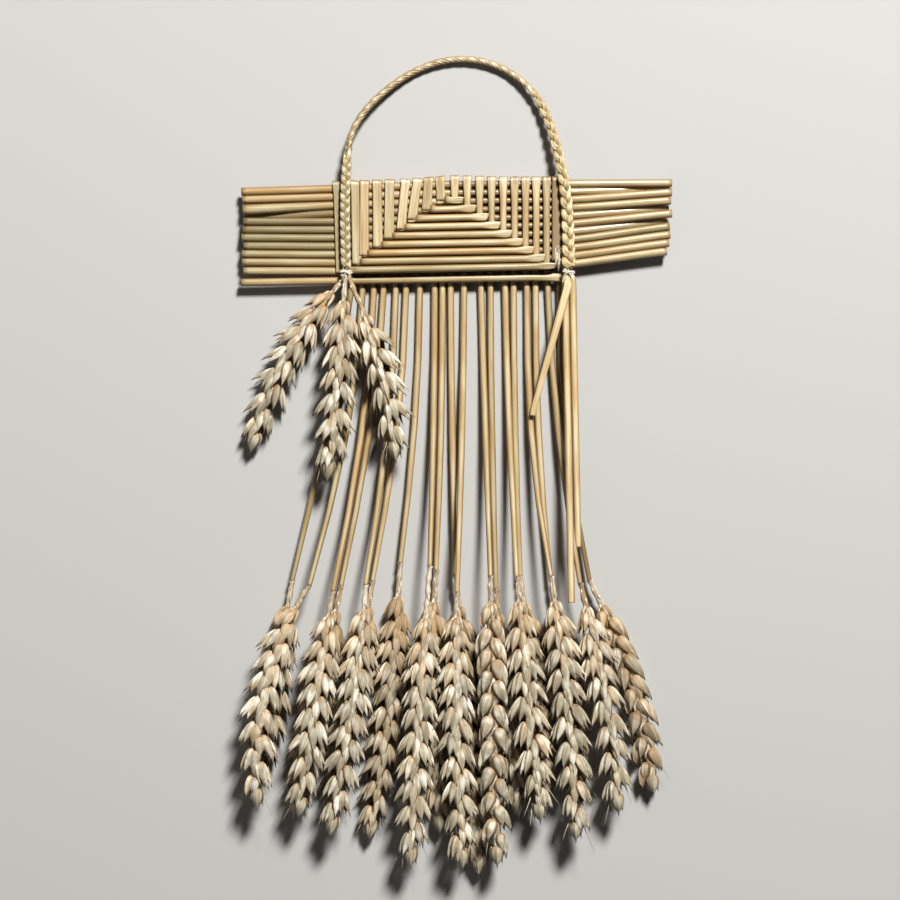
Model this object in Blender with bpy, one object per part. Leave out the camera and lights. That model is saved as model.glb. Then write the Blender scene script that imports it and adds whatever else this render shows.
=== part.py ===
"""A harvest ornament of wheat straw, lying flat with its hanging loop towards +Y.

A bar of straws lies along X. Nineteen straws that still bear their ears are bent over its top
edge: their uprights cover its front, and their stalks and ears hang below it. Three more straws
are plaited into the loop, with their ears in a tassel at its left end and their cut ends as
tails at its right. Sizes are in millimetres until a mesh is made.
"""

import collections
import math

import bmesh
import bpy
from mathutils import Vector

MM = 0.001
GAP = 0.3

# The bar: its straws lie side by side, and row 0 is the topmost.
BAR_ROWS = 11
BAR_STRAW = 3.1
BAR_Z = 4.4
BAR_LEFT_X = -89.5
BAR_RIGHT_X = 90.0
SUNK = 2.9  # how much lower a straw lies that its neighbours have pushed behind them
SUNK_STRAW = 2.9

# Along the bar, where the rows lie: x, the top row's y, and the step down to each next row.
ROW_FAN = ((-51.0, 36.1, 3.44), (0.0, 38.0, 3.55), (30.0, 38.1, 3.5), (48.5, 38.2, 3.36))
LEFT_END_RISE = (-1.3, -1.2, -2.1, -1.5, 0.0, 0.0, 0.2, 0.2, 0.3, 0.3, 0.0)
RIGHT_END_Y = (38.4, 36.5, 34.7, 31.2, 28.4, 25.8, 23.2, 20.5, 17.0, 13.6, 10.1)
SUNK_LEFT = (3,)
SUNK_RIGHT = (1, 4, 6)
SET_BACK = 1.2  # how much shorter a straw is that its neighbours have pushed behind them
STOUT_ROW = 2
STOUT_END = 4.3
LEFT_END_LIFT = 0.25  # how much higher a straw lies at its ends, where nothing holds it down
RIGHT_END_LIFT = 0.4
LEFT_RAGGED = 0.5  # how unevenly the ends are cut
RIGHT_RAGGED = 0.4
RIGHT_END_RETREAT = 0.02
# A straw lies apart below the bar, and ends flattened by the right tie.
LOW_STRAW = 2.95
LOW_STRAW_RIGHT_X = 43.6
LOW_STRAW_Y = (-3.1, -0.9)  # its middle at the left end and at the right
LOW_STRAW_LONGER = 0.6
LOW_STRAW_PRESSED = 9.0  # the length of its flattened end, which is this much wider and thinner
PRESSED_WIDER = 1.25
PRESSED_THINNER = 0.6
PRESSED_CUT = -0.4

# Straws that bear ears: flattened where they bend, nearly round where they hang free.
STALK = 2.6
NECK = 2.0
FLAT = 1.2
BACK_Z = 1.1
BACK_STRAP = 2.6
BACK_THICK = 2.2
LEFT_UPRIGHT = 3.7
RIGHT_UPRIGHT = 3.0
EDGE_FLARE = 4.2
EDGE_CLEAR = 0.1
EDGE_BEND = 0.9  # the size of the bend over the top edge
FLARE_LENGTH = 7.5  # how far below the edge an upright is back to its own width
LOOSE_BEND = 0.7  # the innermost straws bend this much more loosely over the edge
LOOSE_REACH = 20.0
UPRIGHT_Z = BAR_Z + BAR_STRAW / 2 + GAP + FLAT / 2
LENGTHWAYS = 2.95
LENGTHWAYS_THICK = 2.8
LENGTHWAYS_Z = UPRIGHT_Z - FLAT / 2 + LENGTHWAYS_THICK / 2 + 0.05
TUCKED_THICK = 1.4
TUCKED_Z = UPRIGHT_Z + FLAT / 2 + GAP + TUCKED_THICK / 2
TUCKED_WIDER = 0.15
TUCKED_LENGTH = 4.8
PRESSING_LENGTH = 2.2  # over this length a round run becomes flat
RUN_CUT = -0.3
RUN_PAST_UPRIGHT = 3.0  # how far a run reaches past the middle of the upright that it ends on
PINCHED = 1.5  # the length of the flat piece that passes under the plait
FOOT_Y = -6.0
LEFT_UPRIGHTS = 9
FIRST_RUN_ROW = 2
FIRST_LEFT_X = -7.4
LEFT_STEP = -5.25
INNER_LEAN = 1.7  # how far the innermost left upright's top leans inwards; the outermost leans out
LEAN_STEP = -0.35
FIRST_RIGHT_X = -0.8
RIGHT_STEP = 5.35
RIGHT_CLOSING = 0.07  # how much each next step is shorter, halved
RIGHT_END_BELOW = 1.2
CLEAR_OF_PLAIT_X = -41.5
RIGHT_TUCKED = 9  # how many right uprights end under a run; the outermost one's end is open
OPEN_END_Y = 6.4

# Ears: spikelets stand alternately left and right of the axis.
SPIKELET_STEP = 10.8
EAR_TOOTH = 6.9
EAR_NOTCH = 5.0
EAR_THICK = 10.4
EAR_SINK = 0.72
TURNED_WIDE = 5.6
TURNED_NARROW = 4.6
TURNED_NOTCH = 4.1
EAR_TOOTH_LEAN = 2.2
NECK_BARE = 13.0
NECK_COLLAR = 1.4
COLLAR_SHARE = 0.2
TIP_GIRTH, TIP_FILLS = 0.35, 3.2  # how full an ear is at its tip, and how fast it fills out
FOOT_GIRTH, FOOT_FILLS = 0.6, 2.4
EAR_FINE = 200
TOP_EAR_FULLER = 1.09
LOW_EAR_Z = EAR_THICK / 2
TOP_EAR_Z = EAR_THICK * 1.5 + 0.7

# The plait: three flat strands. A strand repeats itself after PLAIT_REPEAT.
PLAIT_REPEAT = 12.0
PLAIT_FINE = 24
PLAIT_REACH = 1.9
PLAIT_LIFT = 0.85
STRAND = 1.5
STRAND_THICK = 0.95
TIED_STEP = 1.45
TIED_STRAND = 1.1
TIE_LENGTH = 1.8
TIE_DROP = 0.2
TIE_WALL = 0.55
TIE_SIDES = 12

# Levels: an ear lies on the surface at 0, and on top of others at 1.
EarStraw = collections.namedtuple("EarStraw", "foot_x bend neck middle tip level turned bare")


def straw(foot_x, bend, neck, middle, tip, level=0, turned=False, bare=NECK_BARE):
    return EarStraw(foot_x, bend, neck, middle, tip, level, turned, bare)


# From left to right. foot_x is the stalk's x just below the bar, and bend says how late it leaves
# the vertical. Then the end of the stalk, and the ear's middle and tip. An ear that is turned
# shows its edge.
EAR_STRAWS = (
    straw(-44.3, 1.2, (-68.7, -127.7), (-75.0, -168.0), (-82.5, -209.5)),
    straw(-39.4, 1.6, (-60.7, -128.5), (-79.2, -173.0), (-81.8, -216.5), level=1),
    straw(-34.7, 1.6, (-51.0, -131.0), (-57.5, -171.0), (-64.9, -221.0), level=1),
    straw(-30.6, 1.5, (-48.3, -130.0), (-57.5, -176.0), (-67.4, -222.0)),
    straw(-25.5, 1.7, (-37.6, -128.5), (-41.4, -170.0), (-51.9, -228.5), level=1),
    straw(-21.2, 1.7, (-35.1, -127.7), (-43.5, -176.0), (-53.5, -222.5)),
    straw(-15.4, 1.8, (-23.5, -120.5), (-28.6, -178.0), (-36.5, -232.0), bare=17.0),
    straw(-9.2, 2.0, (-11.1, -120.5), (-15.5, -184.0), (-18.7, -241.0), level=1, bare=26.0),
    straw(-5.9, 2.0, (-8.6, -123.5), (-9.8, -176.0), (-7.0, -228.5), bare=16.0),
    straw(-2.5, 1.5, (-0.6, -125.5), (5.4, -184.0), (9.5, -246.0), bare=16.0),
    straw(3.1, 1.6, (0.2, -131.5), (-0.2, -186.0), (2.3, -241.5), level=1),
    straw(10.2, 1.0, (13.9, -125.0), (15.0, -184.0), (16.6, -240.5), level=1, turned=True),
    straw(14.2, 1.8, (16.5, -131.0), (20.8, -178.0), (26.0, -221.5)),
    straw(20.3, 1.3, (24.8, -125.0), (29.6, -178.0), (34.4, -222.0), level=1),
    straw(23.9, 2.0, (26.6, -126.0), (32.4, -172.0), (36.4, -216.0), turned=True),
    straw(29.5, 2.5, (38.9, -125.0), (46.0, -178.0), (49.4, -230.0), level=1),
    straw(33.1, 2.3, (39.4, -127.0), (45.6, -172.0), (51.5, -216.0), turned=True),
    straw(38.3, 1.5, (51.0, -128.0), (61.2, -177.0), (66.7, -219.0), level=0.8),
    straw(43.1, 2.2, (55.6, -128.0), (73.0, -171.0), (81.7, -212.5), turned=True),
)

# The loop's middle line, from the left tie over the top to the right tie.
LOOP = (
    (-46.0, 2.0, 9.4),
    (-46.4, 23.0, 9.4),
    (-45.9, 42.0, 9.2),
    (-43.6, 59.5, 6.8),
    (-33.5, 74.0, 4.0),
    (-16.3, 86.3, 1.8),
    (2.0, 90.8, 1.35),
    (19.5, 86.8, 1.8),
    (33.5, 75.0, 4.0),
    (40.5, 58.0, 6.4),
    (44.8, 38.0, 9.2),
    (46.3, 20.0, 9.2),
    (46.6, 2.0, 9.2),
)

# The plait's straws: the strand's turn ahead of the middle one, then the neck and ear below the
# left tie and the bare length of the neck, and the tail below the right tie.
PlaitStraw = collections.namedtuple("PlaitStraw", "name turns neck middle tip bare tail thick")
PLAIT_STRAWS = (
    PlaitStraw(
        name="left",
        turns=2 / 3,
        neck=(-49.5, -6.0, 8.8),
        middle=(-71.0, -36.0, 6.4),
        tip=(-85.5, -70.5, 5.6),
        bare=15.0,
        tail=((48.4, -6.0, 8.2), (49.0, -40.0, 7.2), (50.6, -113.5, 7.2)),
        thick=2.5,
    ),
    PlaitStraw(
        name="middle",
        turns=0.0,
        neck=(-46.5, -4.5, 10.0),
        middle=(-48.9, -41.0, 13.0),
        tip=(-53.6, -83.0, 12.4),
        bare=11.0,
        tail=((46.2, -5.0, 9.6), (42.4, -19.0, 9.6), (31.4, -58.5, 7.4)),
        thick=1.2,
    ),
    PlaitStraw(
        name="right",
        turns=1 / 3,
        neck=(-43.6, -5.0, 9.8),
        middle=(-32.0, -37.0, 12.8),
        tip=(-25.0, -73.5, 12.4),
        bare=17.0,
        tail=((45.4, -6.0, 7.1), (45.7, -30.0, 7.7), (47.4, -136.0, 16.5)),
        thick=2.5,
    ),
)
TAIL = 2.7

# Finishes: a colour and a roughness.
ROUND_STRAW = ((0.78, 0.60, 0.31), 0.35)
EARED_STRAW = ((0.82, 0.70, 0.46), 0.5)
PLAITED_STRAW = ((0.76, 0.62, 0.40), 0.5)
THREAD = ((0.85, 0.82, 0.76), 0.85)

# ---- Sections and lofts ----

Corner = collections.namedtuple("Corner", "across up along")


def flattened(width, thickness, sides=6):
    """The corners of a flattened straw's section, from its edge round over its top."""
    turns = [2 * math.pi * side / sides for side in range(sides)]
    peak = max(math.sin(turn) for turn in turns)
    return [
        Corner(math.cos(turn) * width / 2, math.sin(turn) * thickness / 2 / peak, 0.0) for turn in turns
    ]


def slanted(corners, rise):
    """The section cut off askew, so that its far edge reaches further."""
    return [Corner(c.across, c.up, c.along + rise * c.across) for c in corners]


def spikelet_ring(right, left, thickness, lean):
    """A section of an ear; the side that stands out is thicker, and leans towards the ear's tip."""
    flat = (right + left) / 4
    middle = (right - left) / 2
    right_up, left_up = (1, EAR_SINK) if right > left else (EAR_SINK, 1)
    return [
        Corner(right, 0.0, -lean * (right > left)),
        Corner(middle + flat, right_up * thickness / 2, 0.0),
        Corner(middle - flat, left_up * thickness / 2, 0.0),
        Corner(-left, 0.0, -lean * (left > right)),
        Corner(middle - flat, -left_up * thickness / 2, 0.0),
        Corner(middle + flat, -right_up * thickness / 2, 0.0),
    ]


def on_edge(corners):
    """The section turned a quarter round its path, with its corners still counted from the right."""
    turned = [Corner(-c.up, c.across, c.along) for c in corners]
    return [turned[-1], *turned[:-1]]


def bridge(mesh, first, second):
    """Faces between two rings of vertices, which may differ in number."""
    i = j = 0
    while i < len(first) or j < len(second):
        here, there = first[i % len(first)], second[j % len(second)]
        after, beyond = first[(i + 1) % len(first)], second[(j + 1) % len(second)]
        if len(first) == len(second):
            mesh.faces.new((here, after, beyond, there))
            i, j = i + 1, j + 1
        elif (i + 1) * len(second) <= (j + 1) * len(first):
            mesh.faces.new((here, after, there))
            i += 1
        else:
            mesh.faces.new((here, beyond, there))
            j += 1


def loft(name, stations, across):
    """One solid through stations of (point, corners). across is where the first one's width points.

    Each ring lies in the plane that halves the bend at its point, and the section keeps its turn
    round the path from one run to the next.
    """
    points = [Vector(point) for point, _ in stations]
    runs = [(b - a).normalized() for a, b in zip(points, points[1:])]
    mesh = bmesh.new()
    rings = []
    heading = runs[0]
    across = Vector(across)
    across = (across - heading * across.dot(heading)).normalized()
    for index, (point, corners) in enumerate(zip(points, (corners for _, corners in stations))):
        ahead = runs[min(index, len(runs) - 1)]
        halving = (heading + ahead).normalized()
        up = heading.cross(across)
        ring = []
        for corner in corners:
            offset = across * corner.across + up * corner.up
            offset -= heading * (offset.dot(halving) / heading.dot(halving))
            ring.append(mesh.verts.new((point + offset + heading * corner.along) * MM))
        if rings:
            bridge(mesh, rings[-1], ring)
        rings.append(ring)
        across.rotate(heading.rotation_difference(ahead))
        heading = ahead
    mesh.faces.new(rings[0])
    mesh.faces.new(rings[-1])
    bmesh.ops.recalc_face_normals(mesh, faces=mesh.faces)
    data = bpy.data.meshes.new(name)
    mesh.to_mesh(data)
    mesh.free()
    return bpy.data.objects.new(name, data)


# ---- Curves ----


def between(low, high, share):
    return low + (high - low) * share


def through(points, share):
    """A point on the parabola through three points, which it meets at shares 0, a half and 1."""
    first, middle, last = (Vector(point) for point in points)
    return (
        first * (1 - share) * (1 - 2 * share)
        + middle * 4 * share * (1 - share)
        + last * share * (2 * share - 1)
    )


def smooth_line(points, pieces=24):
    """Close points on a smooth curve through the given ones."""
    given = [Vector(point) for point in points]
    given = [2 * given[0] - given[1], *given, 2 * given[-1] - given[-2]]
    line = []
    for before, start, end, after in zip(given, given[1:], given[2:], given[3:]):
        for step in range(pieces):
            t = step / pieces
            line.append(
                0.5
                * (
                    2 * start
                    + (end - before) * t
                    + (2 * before - 5 * start + 4 * end - after) * t**2
                    + (3 * start - before - 3 * end + after) * t**3
                )
            )
    return [*line, given[-2]]


def evenly(line, count):
    """count + 1 points at even distances along a line, each with the line's heading there."""
    lengths = [0.0]
    for a, b in zip(line, line[1:]):
        lengths.append(lengths[-1] + (b - a).length)
    found = []
    index = 0
    for step in range(count + 1):
        target = lengths[-1] * step / count
        while index < len(line) - 2 and lengths[index + 1] < target:
            index += 1
        a, b = line[index], line[index + 1]
        share = (target - lengths[index]) / (lengths[index + 1] - lengths[index])
        found.append((a.lerp(b, share), (b - a).normalized()))
    return found


def line_length(line):
    return sum((b - a).length for a, b in zip(line, line[1:]))


# ---- The bar ----


def row_y(row, x):
    """The middle of a row of bar straws at x, between the left wraps and the right ones."""
    places = list(ROW_FAN)
    while len(places) > 2 and x > places[1][0]:
        places.pop(0)
    (x0, top0, step0), (x1, top1, step1) = places[:2]
    share = (x - x0) / (x1 - x0)
    return between(top0, top1, share) - row * between(step0, step1, share)


def edge_y(x):
    """The outside of the bends over the bar's top edge. The innermost straws bend more loosely."""
    loose = LOOSE_BEND * max(0.0, 1 - abs(x) / LOOSE_REACH)
    return row_y(0, x) + BAR_STRAW / 2 + GAP + FLAT + EDGE_CLEAR + loose


def bar_straw(row):
    left_x = BAR_LEFT_X - LEFT_RAGGED * math.sin(2.3 * row + 1) + SET_BACK * (row in SUNK_LEFT)
    right_x = BAR_RIGHT_X - RIGHT_END_RETREAT * row**2 + RIGHT_RAGGED * math.sin(1.7 * row)
    right_x -= SET_BACK * (row in SUNK_RIGHT)
    left_z = BAR_Z - SUNK if row in SUNK_LEFT else BAR_Z + LEFT_END_LIFT
    right_z = BAR_Z - SUNK if row in SUNK_RIGHT else BAR_Z + RIGHT_END_LIFT
    points = [(left_x, row_y(row, ROW_FAN[0][0]) + LEFT_END_RISE[row], left_z)]
    points += [(x, row_y(row, x), BAR_Z) for x, _, _ in ROW_FAN]
    points += [(right_x, RIGHT_END_Y[row], right_z)]
    curve = bpy.data.curves.new(f"bar_straw_{row + 1:02d}", "CURVE")
    curve.dimensions = "3D"
    curve.bevel_depth = BAR_STRAW / 2 * MM
    curve.bevel_resolution = 2
    curve.use_fill_caps = True
    spline = curve.splines.new("POLY")
    spline.points.add(len(points) - 1)
    for point, place in zip(spline.points, points):
        point.co = (*(value * MM for value in place), 1)
    if row in SUNK_LEFT:
        spline.points[0].radius = SUNK_STRAW / BAR_STRAW
    if row in SUNK_RIGHT:
        spline.points[-1].radius = SUNK_STRAW / BAR_STRAW
    if row == STOUT_ROW:
        spline.points[0].radius = STOUT_END / BAR_STRAW
    return bpy.data.objects.new(curve.name, curve)


def low_bar_straw():
    """The straw apart below the bar, round from its left end nearly to its right."""
    left_y, right_y = LOW_STRAW_Y
    cut = flattened(LOW_STRAW, LOW_STRAW, 8)
    pressed = flattened(LOW_STRAW * PRESSED_WIDER, LOW_STRAW * PRESSED_THINNER, 8)
    stations = [
        ((BAR_LEFT_X - LOW_STRAW_LONGER, left_y, BAR_Z), cut),
        ((LOW_STRAW_RIGHT_X - LOW_STRAW_PRESSED, right_y, BAR_Z), cut),
        ((LOW_STRAW_RIGHT_X, right_y, BAR_Z + GAP), slanted(pressed, PRESSED_CUT)),
    ]
    return loft(f"bar_straw_{BAR_ROWS + 1:02d}", stations, (0, 1, 0))


# ---- Ears and stalks ----


def ear_girth(share):
    """How full an ear is, from its tip at 0 to its lowest spikelets at 1."""
    return min(1.0, TIP_GIRTH + TIP_FILLS * share, FOOT_GIRTH + FOOT_FILLS * (1 - share))


def ear_stations(neck, middle, tip, bare, turned, full=1.0):
    """The ear from its tip to its lowest spikelets, then the bare neck."""
    axis = [through((tip, middle, neck), step / EAR_FINE) for step in range(EAR_FINE + 1)]
    headed = 1 - bare / line_length(axis)
    rings = 2 * round(line_length(axis) * headed / SPIKELET_STEP) + 1
    points = [point for point, _ in evenly(axis, EAR_FINE)]
    stations = []
    for ring in range(rings + 1):
        share = ring / rings
        girth = ear_girth(share)
        outward = ring % 2
        if turned:
            up, down = (EAR_THICK / 2, TURNED_NOTCH) if outward else (TURNED_NOTCH, EAR_THICK / 2)
            wide = 2 * girth * (TURNED_WIDE if outward else TURNED_NARROW)
            corners = on_edge(spikelet_ring(up * girth, down * girth, wide, EAR_TOOTH_LEAN * girth))
        else:
            right, left = (EAR_TOOTH, EAR_NOTCH) if outward else (EAR_NOTCH, EAR_TOOTH)
            wide = girth * full
            corners = spikelet_ring(right * wide, left * wide, EAR_THICK * girth, EAR_TOOTH_LEAN * girth)
        stations.append((points[round(EAR_FINE * headed * share)], corners))
    collar = round(EAR_FINE * between(headed, 1, COLLAR_SHARE))
    stations.append((points[collar], flattened(NECK * NECK_COLLAR, NECK * NECK_COLLAR)))
    stations.append((points[-1], flattened(NECK, NECK)))
    return stations


def stalk_stations(straw, ear_z):
    """The stalk from its neck up to the bar, where it is already pressed flat."""
    stations = []
    for share in (0.75, 0.5, 0.25):
        x = between(straw.foot_x, straw.neck[0], share**straw.bend)
        y = between(FOOT_Y, straw.neck[1], share)
        z = between(BACK_Z, ear_z, share**2)
        stations.append(((x, y, z), flattened(between(STALK, NECK, share), between(STALK, NECK, share))))
    stations.append(((straw.foot_x, FOOT_Y, BACK_Z), flattened(BACK_STRAP, BACK_THICK)))
    return stations


def wrap_stations(top_x, width):
    """Up the back of the bar, over its top edge and a little way down its front."""
    over = edge_y(top_x) - FLAT / 2
    flared = flattened(EDGE_FLARE, FLAT)
    return [
        ((top_x, over - EDGE_BEND / 2, FLAT / 2), flared),
        ((top_x, over, FLAT / 2 + EDGE_BEND), flared),
        ((top_x, over, UPRIGHT_Z - EDGE_BEND), flared),
        ((top_x, over - EDGE_BEND, UPRIGHT_Z), flared),
        ((top_x, over - FLARE_LENGTH, UPRIGHT_Z), flattened(width, FLAT)),
    ]


def left_front(number):
    """The upright and the run along the bar of a straw left of the middle; number 0 is innermost."""
    x = FIRST_LEFT_X + LEFT_STEP * number
    row = number + FIRST_RUN_ROW
    end_x = right_upright_x(number) + RUN_PAST_UPRIGHT
    tuck_x = end_x - TUCKED_LENGTH
    round_run = flattened(LENGTHWAYS, LENGTHWAYS_THICK)
    tucked = flattened(LENGTHWAYS + TUCKED_WIDER, TUCKED_THICK)

    def on_row(at_x, z, corners):
        return ((at_x, row_y(row, at_x), z), corners)

    stations = wrap_stations(x + INNER_LEAN + LEAN_STEP * number, LEFT_UPRIGHT)
    stations.append(on_row(x, UPRIGHT_Z, flattened(LEFT_UPRIGHT, FLAT)))
    run_x = max(x + LEFT_UPRIGHT, CLEAR_OF_PLAIT_X)
    if run_x > x + LEFT_UPRIGHT:
        stations.append(on_row(run_x - PINCHED, UPRIGHT_Z, flattened(LENGTHWAYS, FLAT)))
    if number:
        stations.append(on_row(run_x, LENGTHWAYS_Z, round_run))
        stations.append(on_row(tuck_x - PRESSING_LENGTH, LENGTHWAYS_Z, round_run))
    stations.append(on_row(tuck_x, TUCKED_Z, tucked))
    stations.append(on_row(end_x, TUCKED_Z, slanted(tucked, RUN_CUT)))
    return stations


def right_upright_x(number):
    return FIRST_RIGHT_X + RIGHT_STEP * number - RIGHT_CLOSING * number**2


def right_front(number):
    """The upright of a straw right of the middle, whose end is tucked under the run above it."""
    x = right_upright_x(number)
    under_run_y = row_y(number + FIRST_RUN_ROW, x) - RIGHT_END_BELOW
    end_y = under_run_y if number < RIGHT_TUCKED else OPEN_END_Y
    return [*wrap_stations(x, RIGHT_UPRIGHT), ((x, end_y, UPRIGHT_Z), flattened(RIGHT_UPRIGHT, FLAT))]


def ear_straw(index):
    plan = EAR_STRAWS[index]
    ear_z = between(LOW_EAR_Z, TOP_EAR_Z, plan.level)
    neck, middle, tip = ((*place, ear_z) for place in (plan.neck, plan.middle, plan.tip))
    full = between(1, TOP_EAR_FULLER, plan.level)
    stations = ear_stations(neck, middle, tip, plan.bare, plan.turned, full)
    stations += stalk_stations(plan, ear_z)
    number = index - LEFT_UPRIGHTS
    stations += left_front(-1 - number) if number < 0 else right_front(number)
    return loft(f"ear_straw_{index + 1:02d}", stations, (1, 0, 0))


# ---- The plaited loop ----


def plait_stations(turns):
    """One strand from the left tie to the right tie, weaving from edge to edge of the plait.

    Its stations lie where it is highest and lowest, four to a repeat.
    """
    line = smooth_line(LOOP)
    repeats = round(line_length(line) / PLAIT_REPEAT)
    places = evenly(line, PLAIT_FINE * repeats)
    ahead = round(PLAIT_FINE * turns)
    quarter = PLAIT_FINE // 4
    stations = []
    for index in range((quarter // 2 - ahead) % quarter, len(places), quarter):
        place, heading = places[index]
        inward = heading.cross(Vector((0, 0, 1))).normalized()
        outward = inward.cross(heading)
        angle = 2 * math.pi * (index + ahead) / PLAIT_FINE
        sway = PLAIT_REACH * math.sin(angle)
        lift = PLAIT_LIFT * math.sin(2 * angle)
        stations.append((place + inward * sway + outward * lift, flattened(STRAND, STRAND_THICK, 4)))
    return stations


def plait_straw(plan):
    side = round(math.sin(2 * math.pi * plan.turns))
    tied = flattened(TIED_STRAND, STRAND_THICK, 4)
    left_x, left_y, left_z = LOOP[0]
    right_x, right_y, right_z = LOOP[-1]
    stations = ear_stations(plan.neck, plan.middle, plan.tip, plan.bare, False)
    for drop in (TIE_DROP + TIE_LENGTH, TIE_DROP):
        stations.append(((left_x + side * TIED_STEP, left_y - drop, left_z), tied))
    stations += plait_stations(plan.turns)
    for drop in (TIE_DROP, TIE_DROP + TIE_LENGTH):
        stations.append(((right_x - side * TIED_STEP, right_y - drop, right_z), tied))
    for place in plan.tail:
        stations.append((place, flattened(TAIL, plan.thick)))
    return loft(f"plait_straw_{plan.name}", stations, (1, 0, 0))


def thread_tie(name, end):
    """Thread wound round the three strands where they lie side by side: a flat oval band."""
    curve = bpy.data.curves.new(name, "CURVE")
    curve.dimensions = "2D"
    curve.fill_mode = "BOTH"
    curve.extrude = TIE_LENGTH / 2 * MM
    inside = (TIED_STEP + TIED_STRAND / 2 + GAP, STRAND_THICK / 2 + GAP)
    for wall in (0.0, TIE_WALL):
        oval = curve.splines.new("POLY")
        oval.points.add(TIE_SIDES - 1)
        oval.use_cyclic_u = True
        for index, point in enumerate(oval.points):
            turn = 2 * math.pi * index / TIE_SIDES
            across, up = ((half + wall) * MM for half in inside)
            point.co = (across * math.cos(turn), up * math.sin(turn), 0, 1)
    band = bpy.data.objects.new(name, curve)
    x, y, z = end
    band.location = (x * MM, (y - TIE_DROP - TIE_LENGTH / 2) * MM, z * MM)
    band.rotation_euler = (math.pi / 2, 0, 0)
    return band


def principled(name, colour, roughness):
    material = bpy.data.materials.new(name)
    material.use_nodes = True
    shader = material.node_tree.nodes["Principled BSDF"]
    shader.inputs["Base Color"].default_value = (*colour, 1)
    shader.inputs["Roughness"].default_value = roughness
    material.diffuse_color = (*colour, 1)
    return material


# ---- The ornament ----


def clear_scene():
    for old in list(bpy.data.objects):
        bpy.data.objects.remove(old)


def lowest_and_highest(objects):
    """The corners of the box round all the objects, in metres."""
    bpy.context.view_layer.update()
    graph = bpy.context.evaluated_depsgraph_get()
    places = []
    for piece in objects:
        evaluated = piece.evaluated_get(graph)
        mesh = evaluated.to_mesh()
        places += [evaluated.matrix_world @ vertex.co for vertex in mesh.vertices]
        evaluated.to_mesh_clear()
    return [Vector(pick(place[axis] for place in places) for axis in range(3)) for pick in (min, max)]


def main():
    clear_scene()
    ornament = bpy.data.collections.new("StrawOrnament")
    bpy.context.scene.collection.children.link(ornament)
    pieces = [(bar_straw(row), ROUND_STRAW) for row in range(BAR_ROWS)]
    pieces.append((low_bar_straw(), ROUND_STRAW))
    pieces += [(ear_straw(index), EARED_STRAW) for index in range(len(EAR_STRAWS))]
    pieces += [(plait_straw(plan), PLAITED_STRAW) for plan in PLAIT_STRAWS]
    pieces.append((thread_tie("thread_tie_left", LOOP[0]), THREAD))
    pieces.append((thread_tie("thread_tie_right", LOOP[-1]), THREAD))
    root = bpy.data.objects.new("ornament_root", None)
    ornament.objects.link(root)
    for piece, finish in pieces:
        piece.data.materials.append(principled(f"{piece.name}_finish", *finish))
        ornament.objects.link(piece)
        piece.parent = root
    low, high = lowest_and_highest([piece for piece, _ in pieces])
    root.location = (-(low.x + high.x) / 2, -(low.y + high.y) / 2, -low.z)


main()
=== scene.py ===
# %% [markdown]
# # A harvest ornament of wheat straw
#
# Ripe straws lie side by side as a bar, and more straws with their ears still on are bent over
# it, so that the ears hang below like a fringe. A plait of three straws makes the loop that it
# hangs by. Here it lies flat on its back. The loaded frame says where each straw goes. This
# script makes every straw and every ear again with the detail that the frame leaves out.

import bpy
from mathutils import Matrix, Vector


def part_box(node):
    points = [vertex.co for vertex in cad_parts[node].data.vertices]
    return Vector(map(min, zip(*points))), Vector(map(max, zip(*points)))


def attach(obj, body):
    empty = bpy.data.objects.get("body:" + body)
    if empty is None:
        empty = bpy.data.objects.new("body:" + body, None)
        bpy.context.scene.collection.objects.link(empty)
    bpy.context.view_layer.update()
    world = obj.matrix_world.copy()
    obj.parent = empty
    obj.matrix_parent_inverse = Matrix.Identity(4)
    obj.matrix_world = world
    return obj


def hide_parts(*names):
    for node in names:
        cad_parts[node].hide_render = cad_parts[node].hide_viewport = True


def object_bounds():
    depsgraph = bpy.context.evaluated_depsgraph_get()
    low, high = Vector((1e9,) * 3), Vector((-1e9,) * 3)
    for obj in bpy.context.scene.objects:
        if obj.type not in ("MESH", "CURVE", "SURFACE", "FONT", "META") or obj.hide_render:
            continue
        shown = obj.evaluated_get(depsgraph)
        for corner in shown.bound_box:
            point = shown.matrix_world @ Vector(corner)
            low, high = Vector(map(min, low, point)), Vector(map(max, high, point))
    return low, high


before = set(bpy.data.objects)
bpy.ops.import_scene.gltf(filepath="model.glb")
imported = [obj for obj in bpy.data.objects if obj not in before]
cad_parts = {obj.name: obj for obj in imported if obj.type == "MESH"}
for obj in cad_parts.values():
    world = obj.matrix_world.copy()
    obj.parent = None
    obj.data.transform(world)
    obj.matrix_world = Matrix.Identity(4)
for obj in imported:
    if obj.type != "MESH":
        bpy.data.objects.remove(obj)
frame_box = [list(corner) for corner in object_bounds()]

# %% Names used all through
import math

import bmesh
import bpy
import numpy as np
from mathutils import Matrix, Vector

MM = 0.001
chance = np.random.default_rng(23)


def drop_selection():
    bpy.ops.object.select_all(action="DESELECT")


print("frame box in mm:", np.round(np.array(frame_box) / MM, 1).tolist())

# %% [markdown]
# ## Floor, light and camera
#
# The ornament lies on a pale table, and the camera looks straight down on it. Straw is glossy
# along its length, so a soft light from beyond its top, a little to the right, draws a bright
# line down each straw and throws short shadows to the lower left. A far weaker one from the
# left and a dim sky keep the gaps between the ears from going black.


# %% Floor
def blank_finish(name):
    """A new material, its node tree and its shader."""
    finish = bpy.data.materials.new(name)
    finish.use_nodes = True
    return finish, finish.node_tree, finish.node_tree.nodes["Principled BSDF"]


def fill(tree, node, values):
    """Fills a node's inputs, by name or number, each with a link from a socket or a constant."""
    for key, value in values.items():
        if isinstance(value, bpy.types.NodeSocket):
            tree.links.new(value, node.inputs[key])
        else:
            node.inputs[key].default_value = value


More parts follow.
